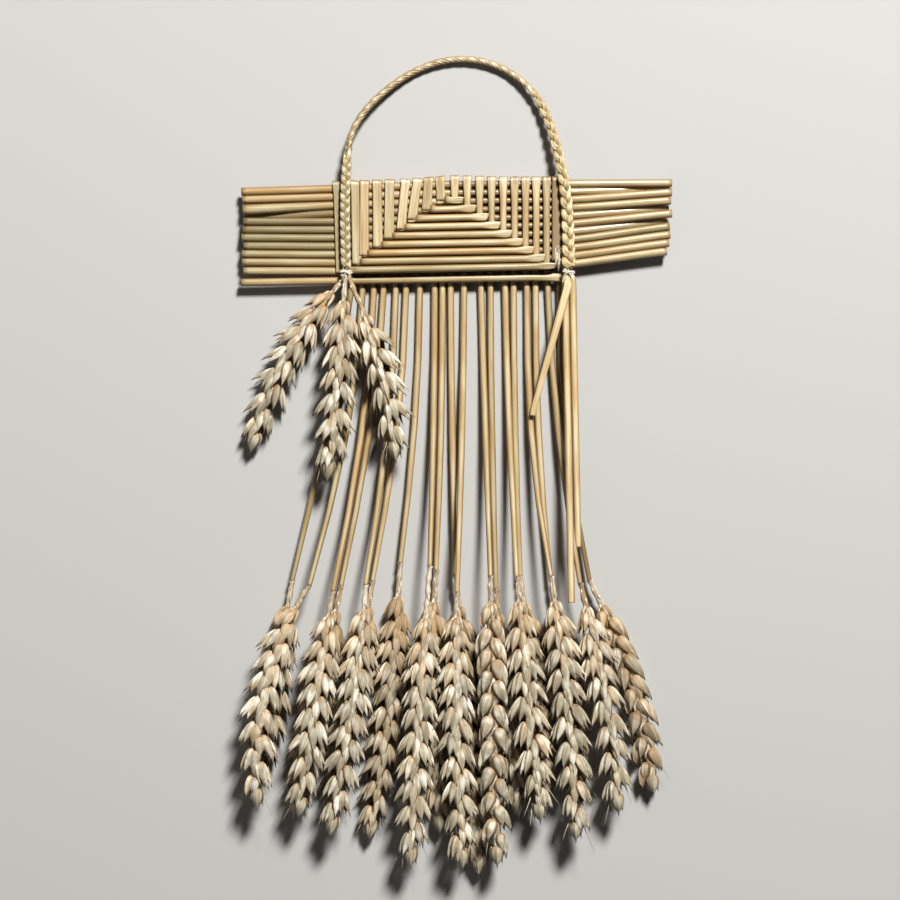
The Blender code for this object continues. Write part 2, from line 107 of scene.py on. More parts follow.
drop_selection()
bpy.ops.mesh.primitive_plane_add(size=3, location=(0, 0, -0.2 * MM))
floor = bpy.context.object
floor.name = "table"
pale_table, tree, shader = blank_finish("pale table")
fill(tree, shader, {"Base Color": (0.45, 0.45, 0.44, 1), "Roughness": 0.9})
floor.data.materials.append(pale_table)
print("floor:", floor.name)


# %% Lights
def link(thing):
    bpy.context.scene.collection.objects.link(thing)


def soft_light(name, place, aim, size, watts, tone):
    """A square area light at a place, turned to face its aim."""
    data = bpy.data.lights.new(name, "AREA")
    data.size, data.energy, data.color = size, watts, tone
    light = bpy.data.objects.new(name, data)
    light.location = place
    light.rotation_euler = (Vector(aim) - Vector(place)).to_track_quat("-Z", "Y").to_euler()
    link(light)


DAYLIGHT, WARM_LIGHT = (1.0, 0.98, 0.95), (1.0, 0.93, 0.84)
soft_light("window", (0.52, 1.28, 1.52), (0, -0.03, 0), size=0.36, watts=79.0, tone=DAYLIGHT)
soft_light("bounce", (-0.9, -0.2, 0.7), (0, 0, 0), size=0.8, watts=1.0, tone=WARM_LIGHT)
sky = bpy.data.worlds.new("studio")
sky.use_nodes = True
fill(sky.node_tree, sky.node_tree.nodes["Background"], {"Color": (*DAYLIGHT, 1), "Strength": 0.034})
bpy.context.scene.world = sky
print("lights: window, bounce and sky")

# %% Camera
VIEW_WIDTH = 0.378
VIEW_CENTRE = (-2.7 * MM, 3.9 * MM)
CAMERA_HEIGHT = 0.95
bpy.context.scene.view_settings.view_transform = "Standard"
camera_data = bpy.data.cameras.new("overhead")
camera_data.lens = camera_data.sensor_width * CAMERA_HEIGHT / VIEW_WIDTH
camera = bpy.data.objects.new("overhead", camera_data)
camera.location = (*VIEW_CENTRE, CAMERA_HEIGHT)
link(camera)
bpy.context.scene.camera = camera
print(f"lens {camera_data.lens:.1f} mm")

# %% [markdown]
# ## Finishes
#
# Straw is not one colour. Fine fibres run along it, slow patches lie under them, and small
# brown specks are scattered over it. All three are worked out once in a node group, from the
# straw's own map: its turn round the straw and its distance along it. The turn goes through a
# sine and a cosine, so that no seam shows where the map starts again.


# %% Node helpers
def add(tree, kind, values=(), **settings):
    """The outputs of a new node, with its settings made and its inputs filled."""
    made = tree.nodes.new("ShaderNode" + kind)
    for name, value in settings.items():
        setattr(made, name, value)
    fill(tree, made, dict(values))
    return made.outputs


def sums(tree, operation, first, second=0.0):
    return add(tree, "Math", {0: first, 1: second}, operation=operation)[0]


def ramp(tree, value, low, high, to_low=0.0, to_high=1.0):
    ends = {"Value": value, "From Min": low, "From Max": high, "To Min": to_low, "To Max": to_high}
    return add(tree, "MapRange", ends, interpolation_type="SMOOTHSTEP")[0]


def mixed(tree, share, first, second, blend="MIX"):
    return add(tree, "Mix", {0: share, 6: first, 7: second}, data_type="RGBA", blend_type=blend)[2]


def bump(tree, height, depth):
    return add(tree, "Bump", {"Height": height, "Strength": 0.6, "Distance": depth})[0]


def colour(red, green, blue):
    return (red, green, blue, 1.0)


# %% The fibre group
SCALES, MASKS = ("Fibres round", "Fibres along", "Patches along"), ("Fibre", "Patch", "Speck")
PATCHES_ROUND = 0.7
SPECKS_ROUND, SPECKS_ALONG = 3.0, 900.0


def own_map(tree):
    """The piece's own map: its turn round the straw, and its distance along it."""
    return add(tree, "SeparateXYZ", {0: add(tree, "UVMap")[0]})[:2]


def fibre_group():
    """Masks that run along a straw or a husk: fine fibres, slow patches and specks."""
    tree = bpy.data.node_groups.new("straw fibre", "ShaderNodeTree")
    for way, names in (("INPUT", SCALES), ("OUTPUT", MASKS)):
        for name in names:
            tree.interface.new_socket(name=name, in_out=way, socket_type="NodeSocketFloat")
    inside = tree.nodes.new("NodeGroupInput").outputs
    share, along = own_map(tree)
    turn = sums(tree, "MULTIPLY", share, 2 * math.pi)
    place = (sums(tree, "COSINE", turn), sums(tree, "SINE", turn), along)

    def noise(round_scale, along_scale, detail):
        scales = (round_scale, round_scale, along_scale)
        scaled = [sums(tree, "MULTIPLY", *pair) for pair in zip(place, scales)]
        where = add(tree, "CombineXYZ", enumerate(scaled))[0]
        return add(tree, "TexNoise", {"Vector": where, "Scale": 1.0, "Detail": detail})[0]

    fill(tree, tree.nodes.new("NodeGroupOutput"), {
        "Fibre": noise(inside["Fibres round"], inside["Fibres along"], 3.0),
        "Patch": noise(PATCHES_ROUND, inside["Patches along"], 2.0),
        "Speck": ramp(tree, noise(SPECKS_ROUND, SPECKS_ALONG, 1.0), 0.70, 0.78),
    })
    return tree


FIBRE = fibre_group()


def fibres(tree, *scales):
    """The masks of the group, with its scales set."""
    return add(tree, "Group", zip(SCALES, scales), node_tree=FIBRE)


# %% [markdown]
# Every straw carries a colour attribute named `tint`. Its red says how light the straw is, its
# green how golden, its blue how olive it still is, and its alpha how far it has been pressed flat
# there. The finish reads them, so one material serves all the straws and no two look the same.
# A second attribute is how far the surface faces up, and the finish paints light from it: a painted
# highlight, cream, on top of a straw, and painted shade, gold, on its flanks. A husk's tint is the
# same, but its alpha is how near it is to the husk's margins, where the husk finish paints shade.


# %% Reading the tint
def own_tint(tree):
    """How light, golden and olive the piece is, and its alpha."""
    tint = add(tree, "Attribute", attribute_name="tint")
    return *add(tree, "SeparateColor", {0: tint["Color"]})[:3], tint["Alpha"]


def lightened(tree, base, light):
    """A colour times how light the piece is."""
    grey = add(tree, "CombineColor", {0: light, 1: light, 2: light})[0]
    return mixed(tree, 1.0, base, grey, "MULTIPLY")


# %% Straw finish
GOLD, PALE_GOLD = colour(0.415, 0.275, 0.115), colour(0.54, 0.435, 0.245)
AMBER, OLIVE = colour(0.48, 0.275, 0.095), colour(0.28, 0.24, 0.085)
# Painted light: a straw's colour is multiplied by cream, a painted highlight, where it faces up, and by
# gold, painted shade, on its flanks.
PAINTED_FLANK_SHADE, PAINTED_TOP_HIGHLIGHT = colour(0.54, 0.40, 0.24), colour(1.06, 1.13, 1.25)  # what light leaves of a colour
FURROW, RIDGE = colour(0.58, 0.48, 0.34), colour(1.14, 1.16, 1.18)  # between the fibres, on them
FURROW_ROUGH, RIDGE_ROUGH, FLAT_ROUGHER = 0.38, 0.22, 0.14
SPECK_BROWN = colour(0.16, 0.09, 0.04)


def straw_finish():
    finish, tree, shader = blank_finish("ripe straw")
    masks = fibres(tree, 3.2, 32.0, 50.0)
    light, golden, green, flat = own_tint(tree)
    streak = ramp(tree, masks["Fibre"], 0.32, 0.68)
    base = mixed(tree, ramp(tree, masks["Patch"], 0.3, 0.7), GOLD, PALE_GOLD)
    base = mixed(tree, sums(tree, "MULTIPLY", flat, 0.35), base, PALE_GOLD)
    base = mixed(tree, golden, base, AMBER)
    base = mixed(tree, green, base, OLIVE)
    # Painted highlight on top and painted shade on the flanks, from how far the surface faces up.
    painted_light_mask = add(tree, "Attribute", attribute_name="painted_light_mask")["Fac"]
    painted_light = mixed(tree, ramp(tree, painted_light_mask, 0.4, 1.0), PAINTED_FLANK_SHADE, PAINTED_TOP_HIGHLIGHT)
    base = mixed(tree, 1.0, base, painted_light, "MULTIPLY")
    strength = sums(tree, "ADD", 0.35, sums(tree, "MULTIPLY", flat, 0.5))
    base = mixed(tree, strength, base, mixed(tree, streak, FURROW, RIDGE), "MULTIPLY")
    base = lightened(tree, base, light)
    dull = ramp(tree, streak, 0, 1, FURROW_ROUGH, RIDGE_ROUGH)
    fill(tree, shader, {
        "Base Color": mixed(tree, sums(tree, "MULTIPLY", masks["Speck"], 0.55), base, SPECK_BROWN),
        "Roughness": sums(tree, "ADD", dull, sums(tree, "MULTIPLY", flat, FLAT_ROUGHER)),
        "Normal": bump(tree, masks["Fibre"], 0.22 * MM),
        "Specular IOR Level": 0.9,
    })
    return finish


STRAW = straw_finish()

# %% Husk finish
GREY_BUFF, CREAM = colour(0.38, 0.33, 0.235), colour(0.89, 0.87, 0.76)
HUSK_GOLD, HUSK_GREEN = colour(0.64, 0.43, 0.21), colour(0.42, 0.43, 0.32)
# The base brown is partly painted shade, and the margin brown is painted shade.
BASE_BROWN_AND_SHADE, PAINTED_MARGIN_SHADE = colour(0.34, 0.2, 0.08), colour(0.17, 0.1, 0.045)
BETWEEN_NERVES, NERVE = colour(0.54, 0.41, 0.26), colour(1.1, 1.1, 1.1)


def husk_finish():
    """Papery buff with fine nerves, brown at its base, partly as painted shade, with painted shade at
    its margins, and grey-green here and there.

    A husk's map runs along it from a whole number, at its base, to the next one, at its tip.
    """
    finish, tree, shader = blank_finish("dry husk")
    masks = fibres(tree, 2.6, 0.9, 2.6)
    light, golden, green, margin = own_tint(tree)
    share = sums(tree, "FRACT", own_map(tree)[1])
    base = mixed(tree, ramp(tree, masks["Patch"], 0.35, 0.74), GREY_BUFF, CREAM)
    base = mixed(tree, golden, base, HUSK_GOLD)
    base = mixed(tree, green, base, HUSK_GREEN)
    # Brown at each husk's base: partly its own golden brown, partly painted shade where it comes out
    # from under the husk before it.
    base = mixed(tree, ramp(tree, share, 0.42, 0.08, 0.0, 0.75), base, BASE_BROWN_AND_SHADE)
    # Painted shade at each husk's margins and underside, where it lies under its neighbours.
    base = mixed(tree, ramp(tree, margin, 0.38, 0.88, 0.0, 0.9), base, PAINTED_MARGIN_SHADE)
    nerve = ramp(tree, masks["Fibre"], 0.4, 0.58)
    base = mixed(tree, 0.42, base, mixed(tree, nerve, BETWEEN_NERVES, NERVE), "MULTIPLY")
    fill(tree, shader, {
        "Base Color": lightened(tree, base, light),
        "Roughness": ramp(tree, nerve, 0, 1, 0.55, 0.42),
        "Normal": bump(tree, masks["Fibre"], 0.5 * MM),
    })
    return finish


HUSK = husk_finish()
print("finishes:", STRAW.name, "and", HUSK.name)

# %% [markdown]
# ## Reading the frame
#
# A plane through a solid of the frame meets it in a small outline, and the middle of that
# outline is a point on the straw's middle line. A row of such planes gives the whole line, so
# the pieces here follow the frame wherever its straws go.

# %% Outlines
edges_of = {}


def points_of(mesh):
    """The places of a mesh's points, a row each."""
    points = np.empty(3 * len(mesh.vertices))
    mesh.vertices.foreach_get("co", points)
    return points.reshape(-1, 3)


def node_edges(name):
    """The two ends of every edge of a frame node, as arrays."""
    if name not in edges_of:
        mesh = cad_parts[name].data
        ends = np.empty(2 * len(mesh.edges), int)
        mesh.edges.foreach_get("vertices", ends)
        edges_of[name] = points_of(mesh)[ends[::2]], points_of(mesh)[ends[1::2]]
    return edges_of[name]


def outline(name, normal, at, keep=None):
    """Where a plane meets a node, among the points to keep: the lowest and the highest corner."""
    first, second = node_edges(name)
    near, far = first @ normal - at, second @ normal - at
    crossing = near * far < 0
    share = near[crossing] / (near[crossing] - far[crossing])
    found = first[crossing] + share[:, None] * (second - first)[crossing]
    if keep:
        found = found[keep(found)]
    return (found.min(0), found.max(0)) if len(found) else None


def middle_line(name, axis, places, keep=None):
    """The middles and the sizes of a node's outlines at places along an axis."""
    found = [outline(name, np.eye(3)[axis], at, keep) for at in places]
    found = [corners for corners in found if corners]
    lows, highs = (np.array([corners[side] for corners in found]) for side in (0, 1))
    return (lows + highs) / 2, highs - lows


def eased(points, reach):
    """The same points with each one's sharp bends spread over its neighbours."""
    padded = np.concatenate([points[:1].repeat(reach, 0), points, points[-1:].repeat(reach, 0)])
    window = np.ones(2 * reach + 1) / (2 * reach + 1)
    smooth = np.stack([np.convolve(column, window, "valid") for column in padded.T], 1)
    smooth[0], smooth[-1] = points[0], points[-1]
    return smooth


def lengths_along(points):
    return np.concatenate([[0], np.cumsum(np.linalg.norm(np.diff(points, axis=0), axis=1))])


def close_rows(rows, gap):
    """Rows at even distances along a line. A row starts with a point, and may hold more values."""
    reach = lengths_along(rows[:, :3])
    steps = np.linspace(0, reach[-1], max(3, round(reach[-1] / gap)))
    return np.stack([np.interp(steps, reach, column) for column in rows.T], 1)


# %% [markdown]
# ## How a straw is made
#
# Straw is a tube. It is cut to length, wetted, pressed flat where it has to bend, and bent. The
# model is made the same way. A cylinder without ends is added, as long as its route, and
# subdivided into rings. Its open ends are extruded inwards for the wall that a cut straw shows.
# Then the rings are pressed to their width and thickness while the tube is still straight,
# where each ring is at one distance along it. Last, a Curve modifier bends it along the route.


# %% Selecting in edit mode
def pick(kind):
    bpy.ops.mesh.select_mode(type=kind)


def select_points(piece, wanted):
    """Selects the points of the mesh being edited whose place passes the test."""
    mesh = bmesh.from_edit_mesh(piece.data)
    for point in mesh.verts:
        point.select = wanted(point.co)
    mesh.select_flush_mode()
    bmesh.update_edit_mesh(piece.data)


# %% Cutting the tube
BLANK = 0.5 * MM  # the radius of a tube before it is pressed
WALL = 0.22  # the hole's radius is this share smaller than the straw's
HOLLOW = 5 * MM
MOST_CUTS = 100


def straight_tube(length, ring_gap, sides, start_open, end_open):
    """A tube from the origin along X, in rings, with hollow or closed ends."""
    drop_selection()
    bpy.ops.mesh.primitive_cylinder_add(
        vertices=sides, radius=BLANK, depth=length, location=(length / 2, 0, 0),
        rotation=(0, math.pi / 2, 0), end_fill_type="NOTHING", calc_uvs=True,
    )
    tube = bpy.context.object
    bpy.ops.object.transform_apply(location=True, rotation=True, scale=True)
    bpy.ops.object.mode_set(mode="EDIT")
    pick("EDGE")
    near = ring_gap / 100
    cuts = min(MOST_CUTS, max(1, round(math.sqrt(length / ring_gap)) - 1))
    for _ in range(2):
        mesh = bmesh.from_edit_mesh(tube.data)
        for edge in mesh.edges:
            edge.select = abs(edge.verts[0].co.x - edge.verts[1].co.x) > near
        bmesh.update_edit_mesh(tube.data)
        bpy.ops.mesh.subdivide(number_cuts=cuts)
    pick("VERT")
    for end, is_open, inward in ((0.0, start_open, 1), (length, end_open, -1)):
        select_points(tube, lambda co: abs(co.x - end) < near)
        pick("EDGE")
        if is_open:
            bpy.ops.mesh.extrude_edges_move()
            bpy.ops.transform.resize(value=(1, 1 - WALL, 1 - WALL))
            bpy.ops.mesh.extrude_edges_move()
            bpy.ops.transform.translate(value=(inward * HOLLOW, 0, 0))
        bpy.ops.mesh.edge_face_add()
        pick("VERT")
    bpy.ops.mesh.select_all(action="SELECT")
    bpy.ops.mesh.normals_make_consistent(inside=False)
    bpy.ops.object.mode_set(mode="OBJECT")
    return tube


# %% Pressing and bending
ROUTE_GAP = 0.4 * MM
SQUARED, FLATTENED, DISHED = 0.5, 0.35, 0.3  # what pressing does to a round ring
SLANT_REACH = 4 * MM  # an askew cut moves the rings this near to it


def stations(points, width, thick, flat=0.0, tilt=0.0):
    """Rows for straw_tube: points in metres, then the width, thickness, flatness and tilt there."""
    points = np.array(points, float).reshape(-1, 3)
    rows = np.empty((len(points), 7))
    rows[:, :3] = points
    rows[:, 3], rows[:, 4], rows[:, 5], rows[:, 6] = width, thick, flat, tilt
    return rows


def remap(mesh, stretch, shift):
    """Stretches a mesh's map along the straw, and shifts it."""
    spots = np.empty(2 * len(mesh.loops))
    corners = mesh.uv_layers[0].data
    corners.foreach_get("uv", spots)
    spots[1::2] = spots[1::2] * stretch + shift
    corners.foreach_set("uv", spots)


def straw_tube(
    name, rows, sides, ring_gap=0.7 * MM, ease=2, ends=(False, False), slant=(0, 0), tint=(1, 0, 0),
    twist="MINIMUM",
):
    """A straw through stations.

    ends says which of its ends are open, and slant how askew they are cut. tint is its shade, or
    its shades from end to end.
    """
    rows = eased(close_rows(rows, ROUTE_GAP), ease)
    reach = lengths_along(rows[:, :3])
    tube = straight_tube(reach[-1], ring_gap, sides, *ends)
    tube.name = name
    mesh = tube.data
    points = points_of(mesh)
    along = points[:, 0].copy()
    width, thick, pressed = (np.interp(along, reach, rows[:, column]) for column in (3, 4, 5))
    across, up = points[:, 1] / BLANK, points[:, 2] / BLANK
    across = np.sign(across) * np.abs(across) ** (1 - SQUARED * pressed)
    up = np.sign(up) * np.abs(up) ** (1 - FLATTENED * pressed)
    up *= 1 - DISHED * pressed * (1 - across**2)
    points[:, 1] = across * width / 2
    points[:, 2] = up * thick / 2
    for end, askew in zip((along, reach[-1] - along), slant):
        points[:, 0] += askew * points[:, 1] * np.clip(1 - end / SLANT_REACH, 0, 1)
    mesh.vertices.foreach_set("co", points.ravel())
    tints = np.array(tint, float).reshape(-1, 3)
    marks = np.linspace(0, 1, len(tints))
    shades = [np.interp(along / reach[-1], marks, column) for column in tints.T]
    shades = np.column_stack([*shades, pressed])
    mesh.attributes.new("tint", "FLOAT_COLOR", "POINT").data.foreach_set("color", shades.ravel())
    remap(mesh, reach[-1], chance.uniform(0, 5))
    bend(tube, rows[:, :3], rows[:, 6], twist)
    # How far each point faces up, for the painted highlight and painted flank shade of the straw
    # finish.
    normals = np.empty(3 * len(mesh.vertices))
    mesh.vertex_normals.foreach_get("vector", normals)
    painted_light_mask = mesh.attributes.new("painted_light_mask", "FLOAT", "POINT")
    painted_light_mask.data.foreach_set("value", np.clip(normals[2::3], 0, 1))
    mesh.shade_smooth()
    return tube


def bend(tube, route, tilt, twist):
    """Lays a straight tube along the route with a Curve modifier, turned by the tilt."""
    data = bpy.data.curves.new("route", "CURVE")
    data.dimensions, data.twist_mode = "3D", twist
    spline = data.splines.new("POLY")
    spline.points.add(len(route) - 1)
    spline.points.foreach_set("co", np.column_stack([route, np.ones(len(route))]).ravel())
    spline.points.foreach_set("tilt", np.ascontiguousarray(tilt))
    guide = bpy.data.objects.new("route", data)
    link(guide)
    modifier = tube.modifiers.new("bend", "CURVE")
    modifier.object, modifier.deform_axis = guide, "POS_X"
    drop_selection()
    tube.select_set(True)
    bpy.context.view_layer.objects.active = tube
    bpy.ops.object.modifier_apply(modifier="bend")
    bpy.data.objects.remove(guide)
    bpy.data.curves.remove(data)


# %% Joining and finishing
def joined(name, pieces):
    """Makes one object of several, with the first one's place and finish."""
    drop_selection()
    for piece in pieces:
        piece.select_set(True)
    bpy.context.view_layer.objects.active = pieces[0]
    bpy.ops.object.join()
    pieces[0].name = name
    return pieces[0]


made_pieces = []


def finished(piece, finish, node):
    """Gives a piece its finish, says where it rides, and hides the frame node that it stands for."""
    piece.data.materials.clear()
    piece.data.materials.append(finish)
    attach(piece, "root")
    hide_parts(node)
    made_pieces.append(piece)


# %% [markdown]
# ## The bar
#
# Eleven straws lie side by side, and one more lies apart below them. Some are thicker than
# others, some were pushed behind their neighbours at an end, and the oldest have gone olive.
# Behind the uprights on the right they are drawn thin, and they are painted darker and more golden
# there, as shade from the uprights.

# %% Bar straws
# The fourth to sixth straws lie behind their neighbours. Their darker brown-olive is partly their own
# colour and partly painted shade from the straws in front.
BAR_SHADES = (
    (0.9, 0.65, 0.0), (0.92, 0.3, 0.0), (0.92, 0.0, 0.15), (0.5, 0.3, 0.3), (0.56, 0.2, 0.4),
    (0.56, 0.1, 0.35), (0.68, 0.0, 0.45), (0.72, 0.1, 0.5), (0.78, 0.0, 0.3), (0.86, 0.0, 0.2),
    (0.92, 0.0, 0.12), (0.98, 0.05, 0.06),
)
RIGHT_END, YELLOW_END, YELLOW_STRAW = (0.96, 0.15, 0.04), (0.92, 0.1, 0.45), 8
BAR_FULLNESS = (1, 1.1, 1.03)  # how much wider and thicker than in the frame
WEAVE_X = np.array((-6, 3, 40, 47)) * MM  # where the uprights begin, cover all, and end again
WEAVE_SQUEEZE, PAINTED_RECESS_SHADE = 0.82, (0.6, 0.4, 0.05)  # the size and the shade there
PRESSED_END = 9 * MM  # the straw that lies apart is pressed this far from its right end
INSIDE = 1.3 * MM  # an end is read this far in, where its askew cut doesn't spoil the outline
for number, shade in enumerate(BAR_SHADES, start=1):
    node = f"bar_straw_{number:02d}"
    low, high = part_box(node)
    middles, sizes = middle_line(node, 0, np.linspace(low.x + INSIDE, high.x - INSIDE, 61))
    middles[0, 0], middles[-1, 0] = low.x, high.x
    apart = number == len(BAR_SHADES)
    pressed = np.clip((middles[:, 0] - high.x) / PRESSED_END + 1, 0, 1) * (0.7 if apart else 0)
    behind_uprights = np.interp(middles[:, 0], WEAVE_X, (0, 1, 1, 0)) * (0 if apart else 1)
    squeezed = 1 - (1 - WEAVE_SQUEEZE) * behind_uprights
    shades = np.linspace(shade, YELLOW_END if number == YELLOW_STRAW else RIGHT_END, len(middles))
    # Painted shade: behind the uprights the straws are made darker and more golden, as the uprights
    # shade them.
    shades += (np.array(PAINTED_RECESS_SHADE) - shades) * behind_uprights[:, None]
    _, width, thick = (eased(sizes, 2) * BAR_FULLNESS).T * squeezed
    straw = straw_tube(
        f"straw_bar_{number:02d}", stations(eased(middles, 3), width, thick, pressed), sides=16,
        ring_gap=2 * MM, ends=(True, True), slant=(0.0, 0.4 if apart else 0.05), tint=shades,
    )
    finished(straw, STRAW, node)
print("bar straws:", len(BAR_SHADES))

# %% [markdown]
# ## The straws that bear the ears
#
# Each straw comes up from its ear behind the bar, is pressed flat where it folds over the top
# edge, and comes down the front. The left ones are folded once more at the bottom, in under
# themselves, and run to the right along the bar, round again, until they end flat on top of a
# right one. The fold hides where the run begins, so the run is a tube of its own that starts
# under the flat upright. The right ones are soon round again below the top edge, and are cut off
# where they meet their run.

# %% Reading one ear straw
EAR_STRAWS = 19
LEFT_STRAWS = 9
FRONT_Z = 5.5 * MM  # the front of the bar is above this, and the back below it
BAR_BOTTOM_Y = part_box("bar_straw_12")[1].y
HANGING_Y = BAR_BOTTOM_Y - 6 * MM  # below this a straw only hangs


def in_front(points):
    return (points[:, 2] > FRONT_Z) & (points[:, 1] > HANGING_Y)


def behind(points):
    return (points[:, 2] < FRONT_Z) & (points[:, 1] > HANGING_Y)


def hanging_part(node):
    """The stalk from its neck up, then the ear from the neck down: middles and sizes of each."""
    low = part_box(node)[0]
    stalk_top = BAR_BOTTOM_Y - 6.5 * MM
    middles, sizes = middle_line(node, 1, np.arange(low.y + 0.1 * MM, stalk_top, 0.5 * MM))
    upper = len(sizes) // 3
    neck = upper + int(np.argmin(sizes[upper:, 2]))
    return (middles[neck:], sizes[neck:]), (middles[neck::-1], sizes[neck::-1])


# %% Routes over the bar
STALK, NECK = 2.85 * MM, 2.0 * MM
STRAP_WIDTH, STRAP_THICK, STRAP_Z = 3.1 * MM, 1.9 * MM, 1.3 * MM
STRIP = 0.75 * MM  # how thick a straw is where it is pressed flat
UPRIGHT_Z = 6.75 * MM
LEFT_FLARE, RIGHT_FLARE = 4.25 * MM, 3.9 * MM


def stalk_rows(node):
    (middles, _), _ = hanging_part(node)
    share = (middles[:, 1] - middles[0, 1]) / (middles[-1, 1] - middles[0, 1])
    girth = NECK + (STALK - NECK) * np.clip(2.2 * share, 0, 1)
    middles[:, 2] = np.maximum(middles[:, 2], girth / 2 + 0.1 * MM)
    return stations(middles, girth, girth)


def strap_and_edge_rows(node, top_y, top_x, width, flare):
    """Up the back of the bar and over its top edge, as far as the start of the upright."""
    back, _ = middle_line(node, 1, np.linspace(BAR_BOTTOM_Y, top_y - 4 * MM, 8), behind)
    back[:, 2] = STRAP_Z
    half = STRIP / 2
    below_and_height = (
        (1.5 * MM, STRAP_Z - 0.4 * MM), (half + 0.2 * MM, STRAP_Z), (half, STRAP_Z + 1.0 * MM),
        (half, UPRIGHT_Z - 0.8 * MM), (half + 0.25 * MM, UPRIGHT_Z - 0.1 * MM),
        (half + 1.0 * MM, UPRIGHT_Z), (2.6 * MM, UPRIGHT_Z),
    )
    edge = [(top_x, top_y - below, height) for below, height in below_and_height]
    widths = [width, flare, flare, flare, flare, flare * 0.97, flare * 0.93]
    strap = stations(back, STRAP_WIDTH, STRAP_THICK, 0.4)
    return np.concatenate([strap, stations(edge, widths, STRIP, 1.0)])


def front_points(node):
    points = node_edges(node)[0]
    return points[in_front(points)]


def upright_line(node, top_y, bottom_y):
    """The upright's middle line in front of the bar, from top to bottom, as a straight fit."""
    places = np.linspace(top_y - 3 * MM, bottom_y, 6)
    limit = front_points(node)[:, 0].min() + 6 * MM
    middles, _ = middle_line(node, 1, places, lambda found: in_front(found) & (found[:, 0] < limit))
    slope, start = np.polyfit(middles[:, 1], middles[:, 0], 1)
    return lambda y: slope * y + start


# %% Shades of the ear straws
PALE, PLAIN = (1.1, 0.0, 0.0), (1.02, 0.1, 0.03)
EAR_SHADES = (
    (0.86, 0.0, 0.3), (0.94, 0.0, 0.2), (0.98, 0.45, 0.0), PLAIN, (1.0, 0.0, 0.1), PALE, PLAIN,
    (0.98, 0.15, 0.0), PALE, PALE, PALE, PLAIN, (0.98, 0.0, 0.12), PALE, PLAIN, (0.98, 0.2, 0.0), PALE,
    (0.9, 0.1, 0.15), (0.5, 0.6, 0.0),
)

# %% Left straws, folded twice
# How far above the run's lower edge an upright is creased, which lets the run show below it.
CREASE_RISE = {"ear_straw_09": 1.2, "ear_straw_08": 1.0, "ear_straw_07": 0.8, "ear_straw_06": 0.4}
# How far each upright strays to the right of its even place, at its top and at its crease.
ASTRAY = (
    (1.0, 0.8), (2.7, 2.5), (1.1, -0.1), (0.7, 0.5), (0.3, -0.2), (1.2, -0.5), (0.4, -1.3),
    (-0.7, -0.6), (-1.1, 0.3),
)
# Through the fold at the crease: how far above the crease and under the upright, in mm.
FOLD = ((0.45, 0), (0.25, 0.25), (0.45, 0.55), (2.2, 0.6))
RUN_FULLNESS = 1.06
PRESSED_RUN = 6  # a run is pressed flat this near to its end, in mm


def run_rows(node, start_x, run_end, bottom_y):
    """From under the upright to the right along the bar, to the flat end."""
    places = np.linspace(start_x + 2.4 * MM, run_end - INSIDE, 60)
    middles, sizes = middle_line(
        node, 0, places, lambda found: in_front(found) & (found[:, 1] < bottom_y + 5.2 * MM)
    )
    start = [
        (start_x + ahead * MM, middles[0, 1], UPRIGHT_Z - under * MM)
        for ahead, under in ((-1.9, 0.62), (1.5, 0.5))
    ]
    middles[-1, 0] = run_end
    to_end = (run_end - middles[:, 0]) / MM
    wider = np.interp(to_end, [0, 0.5, 1.2, PRESSED_RUN], [-0.35, 0.35, 0.4, 0]) * MM
    flatter = np.minimum(sizes[:, 2], np.interp(to_end, [0, 4, PRESSED_RUN], [0.9, 1.3, 2.8]) * MM)
    thick = np.where(to_end < PRESSED_RUN, flatter, sizes[:, 2])
    flat = np.clip(1.4 - (thick / MM) / 2, 0, 1) ** 1.2
    return np.concatenate([
        stations(start, [3.0 * MM, 2.9 * MM], STRIP * 0.7, 1.0),
        stations(middles, sizes[:, 1] * RUN_FULLNESS + wider, thick, flat),
    ])


def left_straw(node, name, tint):
    front = front_points(node)
    top_y, bottom_y, run_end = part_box(node)[1].y, front[:, 1].min(), front[:, 0].max()
    line = upright_line(node, top_y, bottom_y + 3.5 * MM)
    astray = np.array(ASTRAY[int(node[-2:]) - 1]) * MM

    def place(y):
        return line(y) + float(np.interp(y, (bottom_y, top_y), astray[::-1]))

    x = place(bottom_y + 1.6 * MM)
    width = chance.uniform(3.6, 4.0) * MM
    crease_y = bottom_y + CREASE_RISE.get(node, 0.15) * MM
    down = [(place(y), y, UPRIGHT_Z) for y in np.linspace(top_y - 6 * MM, crease_y + 1.2 * MM, 6)]
    fold = [(x, crease_y + above * MM, UPRIGHT_Z - under * MM) for above, under in FOLD]
    rows = np.concatenate([
        stalk_rows(node),
        strap_and_edge_rows(node, top_y, place(top_y), width, LEFT_FLARE),
        stations(down, np.linspace(width * 0.97, width * 1.08, 6), STRIP, 1.0),
        stations(fold, [width * 1.12, width * 1.12, width * 1.05, width * 0.9], STRIP * 0.8, 1.0),
    ])
    upright = straw_tube(name, rows, sides=14, tint=tint)
    rows = run_rows(node, x, run_end, bottom_y)
    run = straw_tube(name, rows, sides=14, ease=3, slant=(0, 0.4), tint=tint)
    return joined(name, [upright, run])


# %% Right straws, cut off at their run
ROUNDED_BY = 11 * MM  # an upright on the right is round again this far below the bar's top
LAST_WIDTH, RIGHT_WIDTH = 3.7 * MM, 2.8 * MM  # the last one stays flat all the way


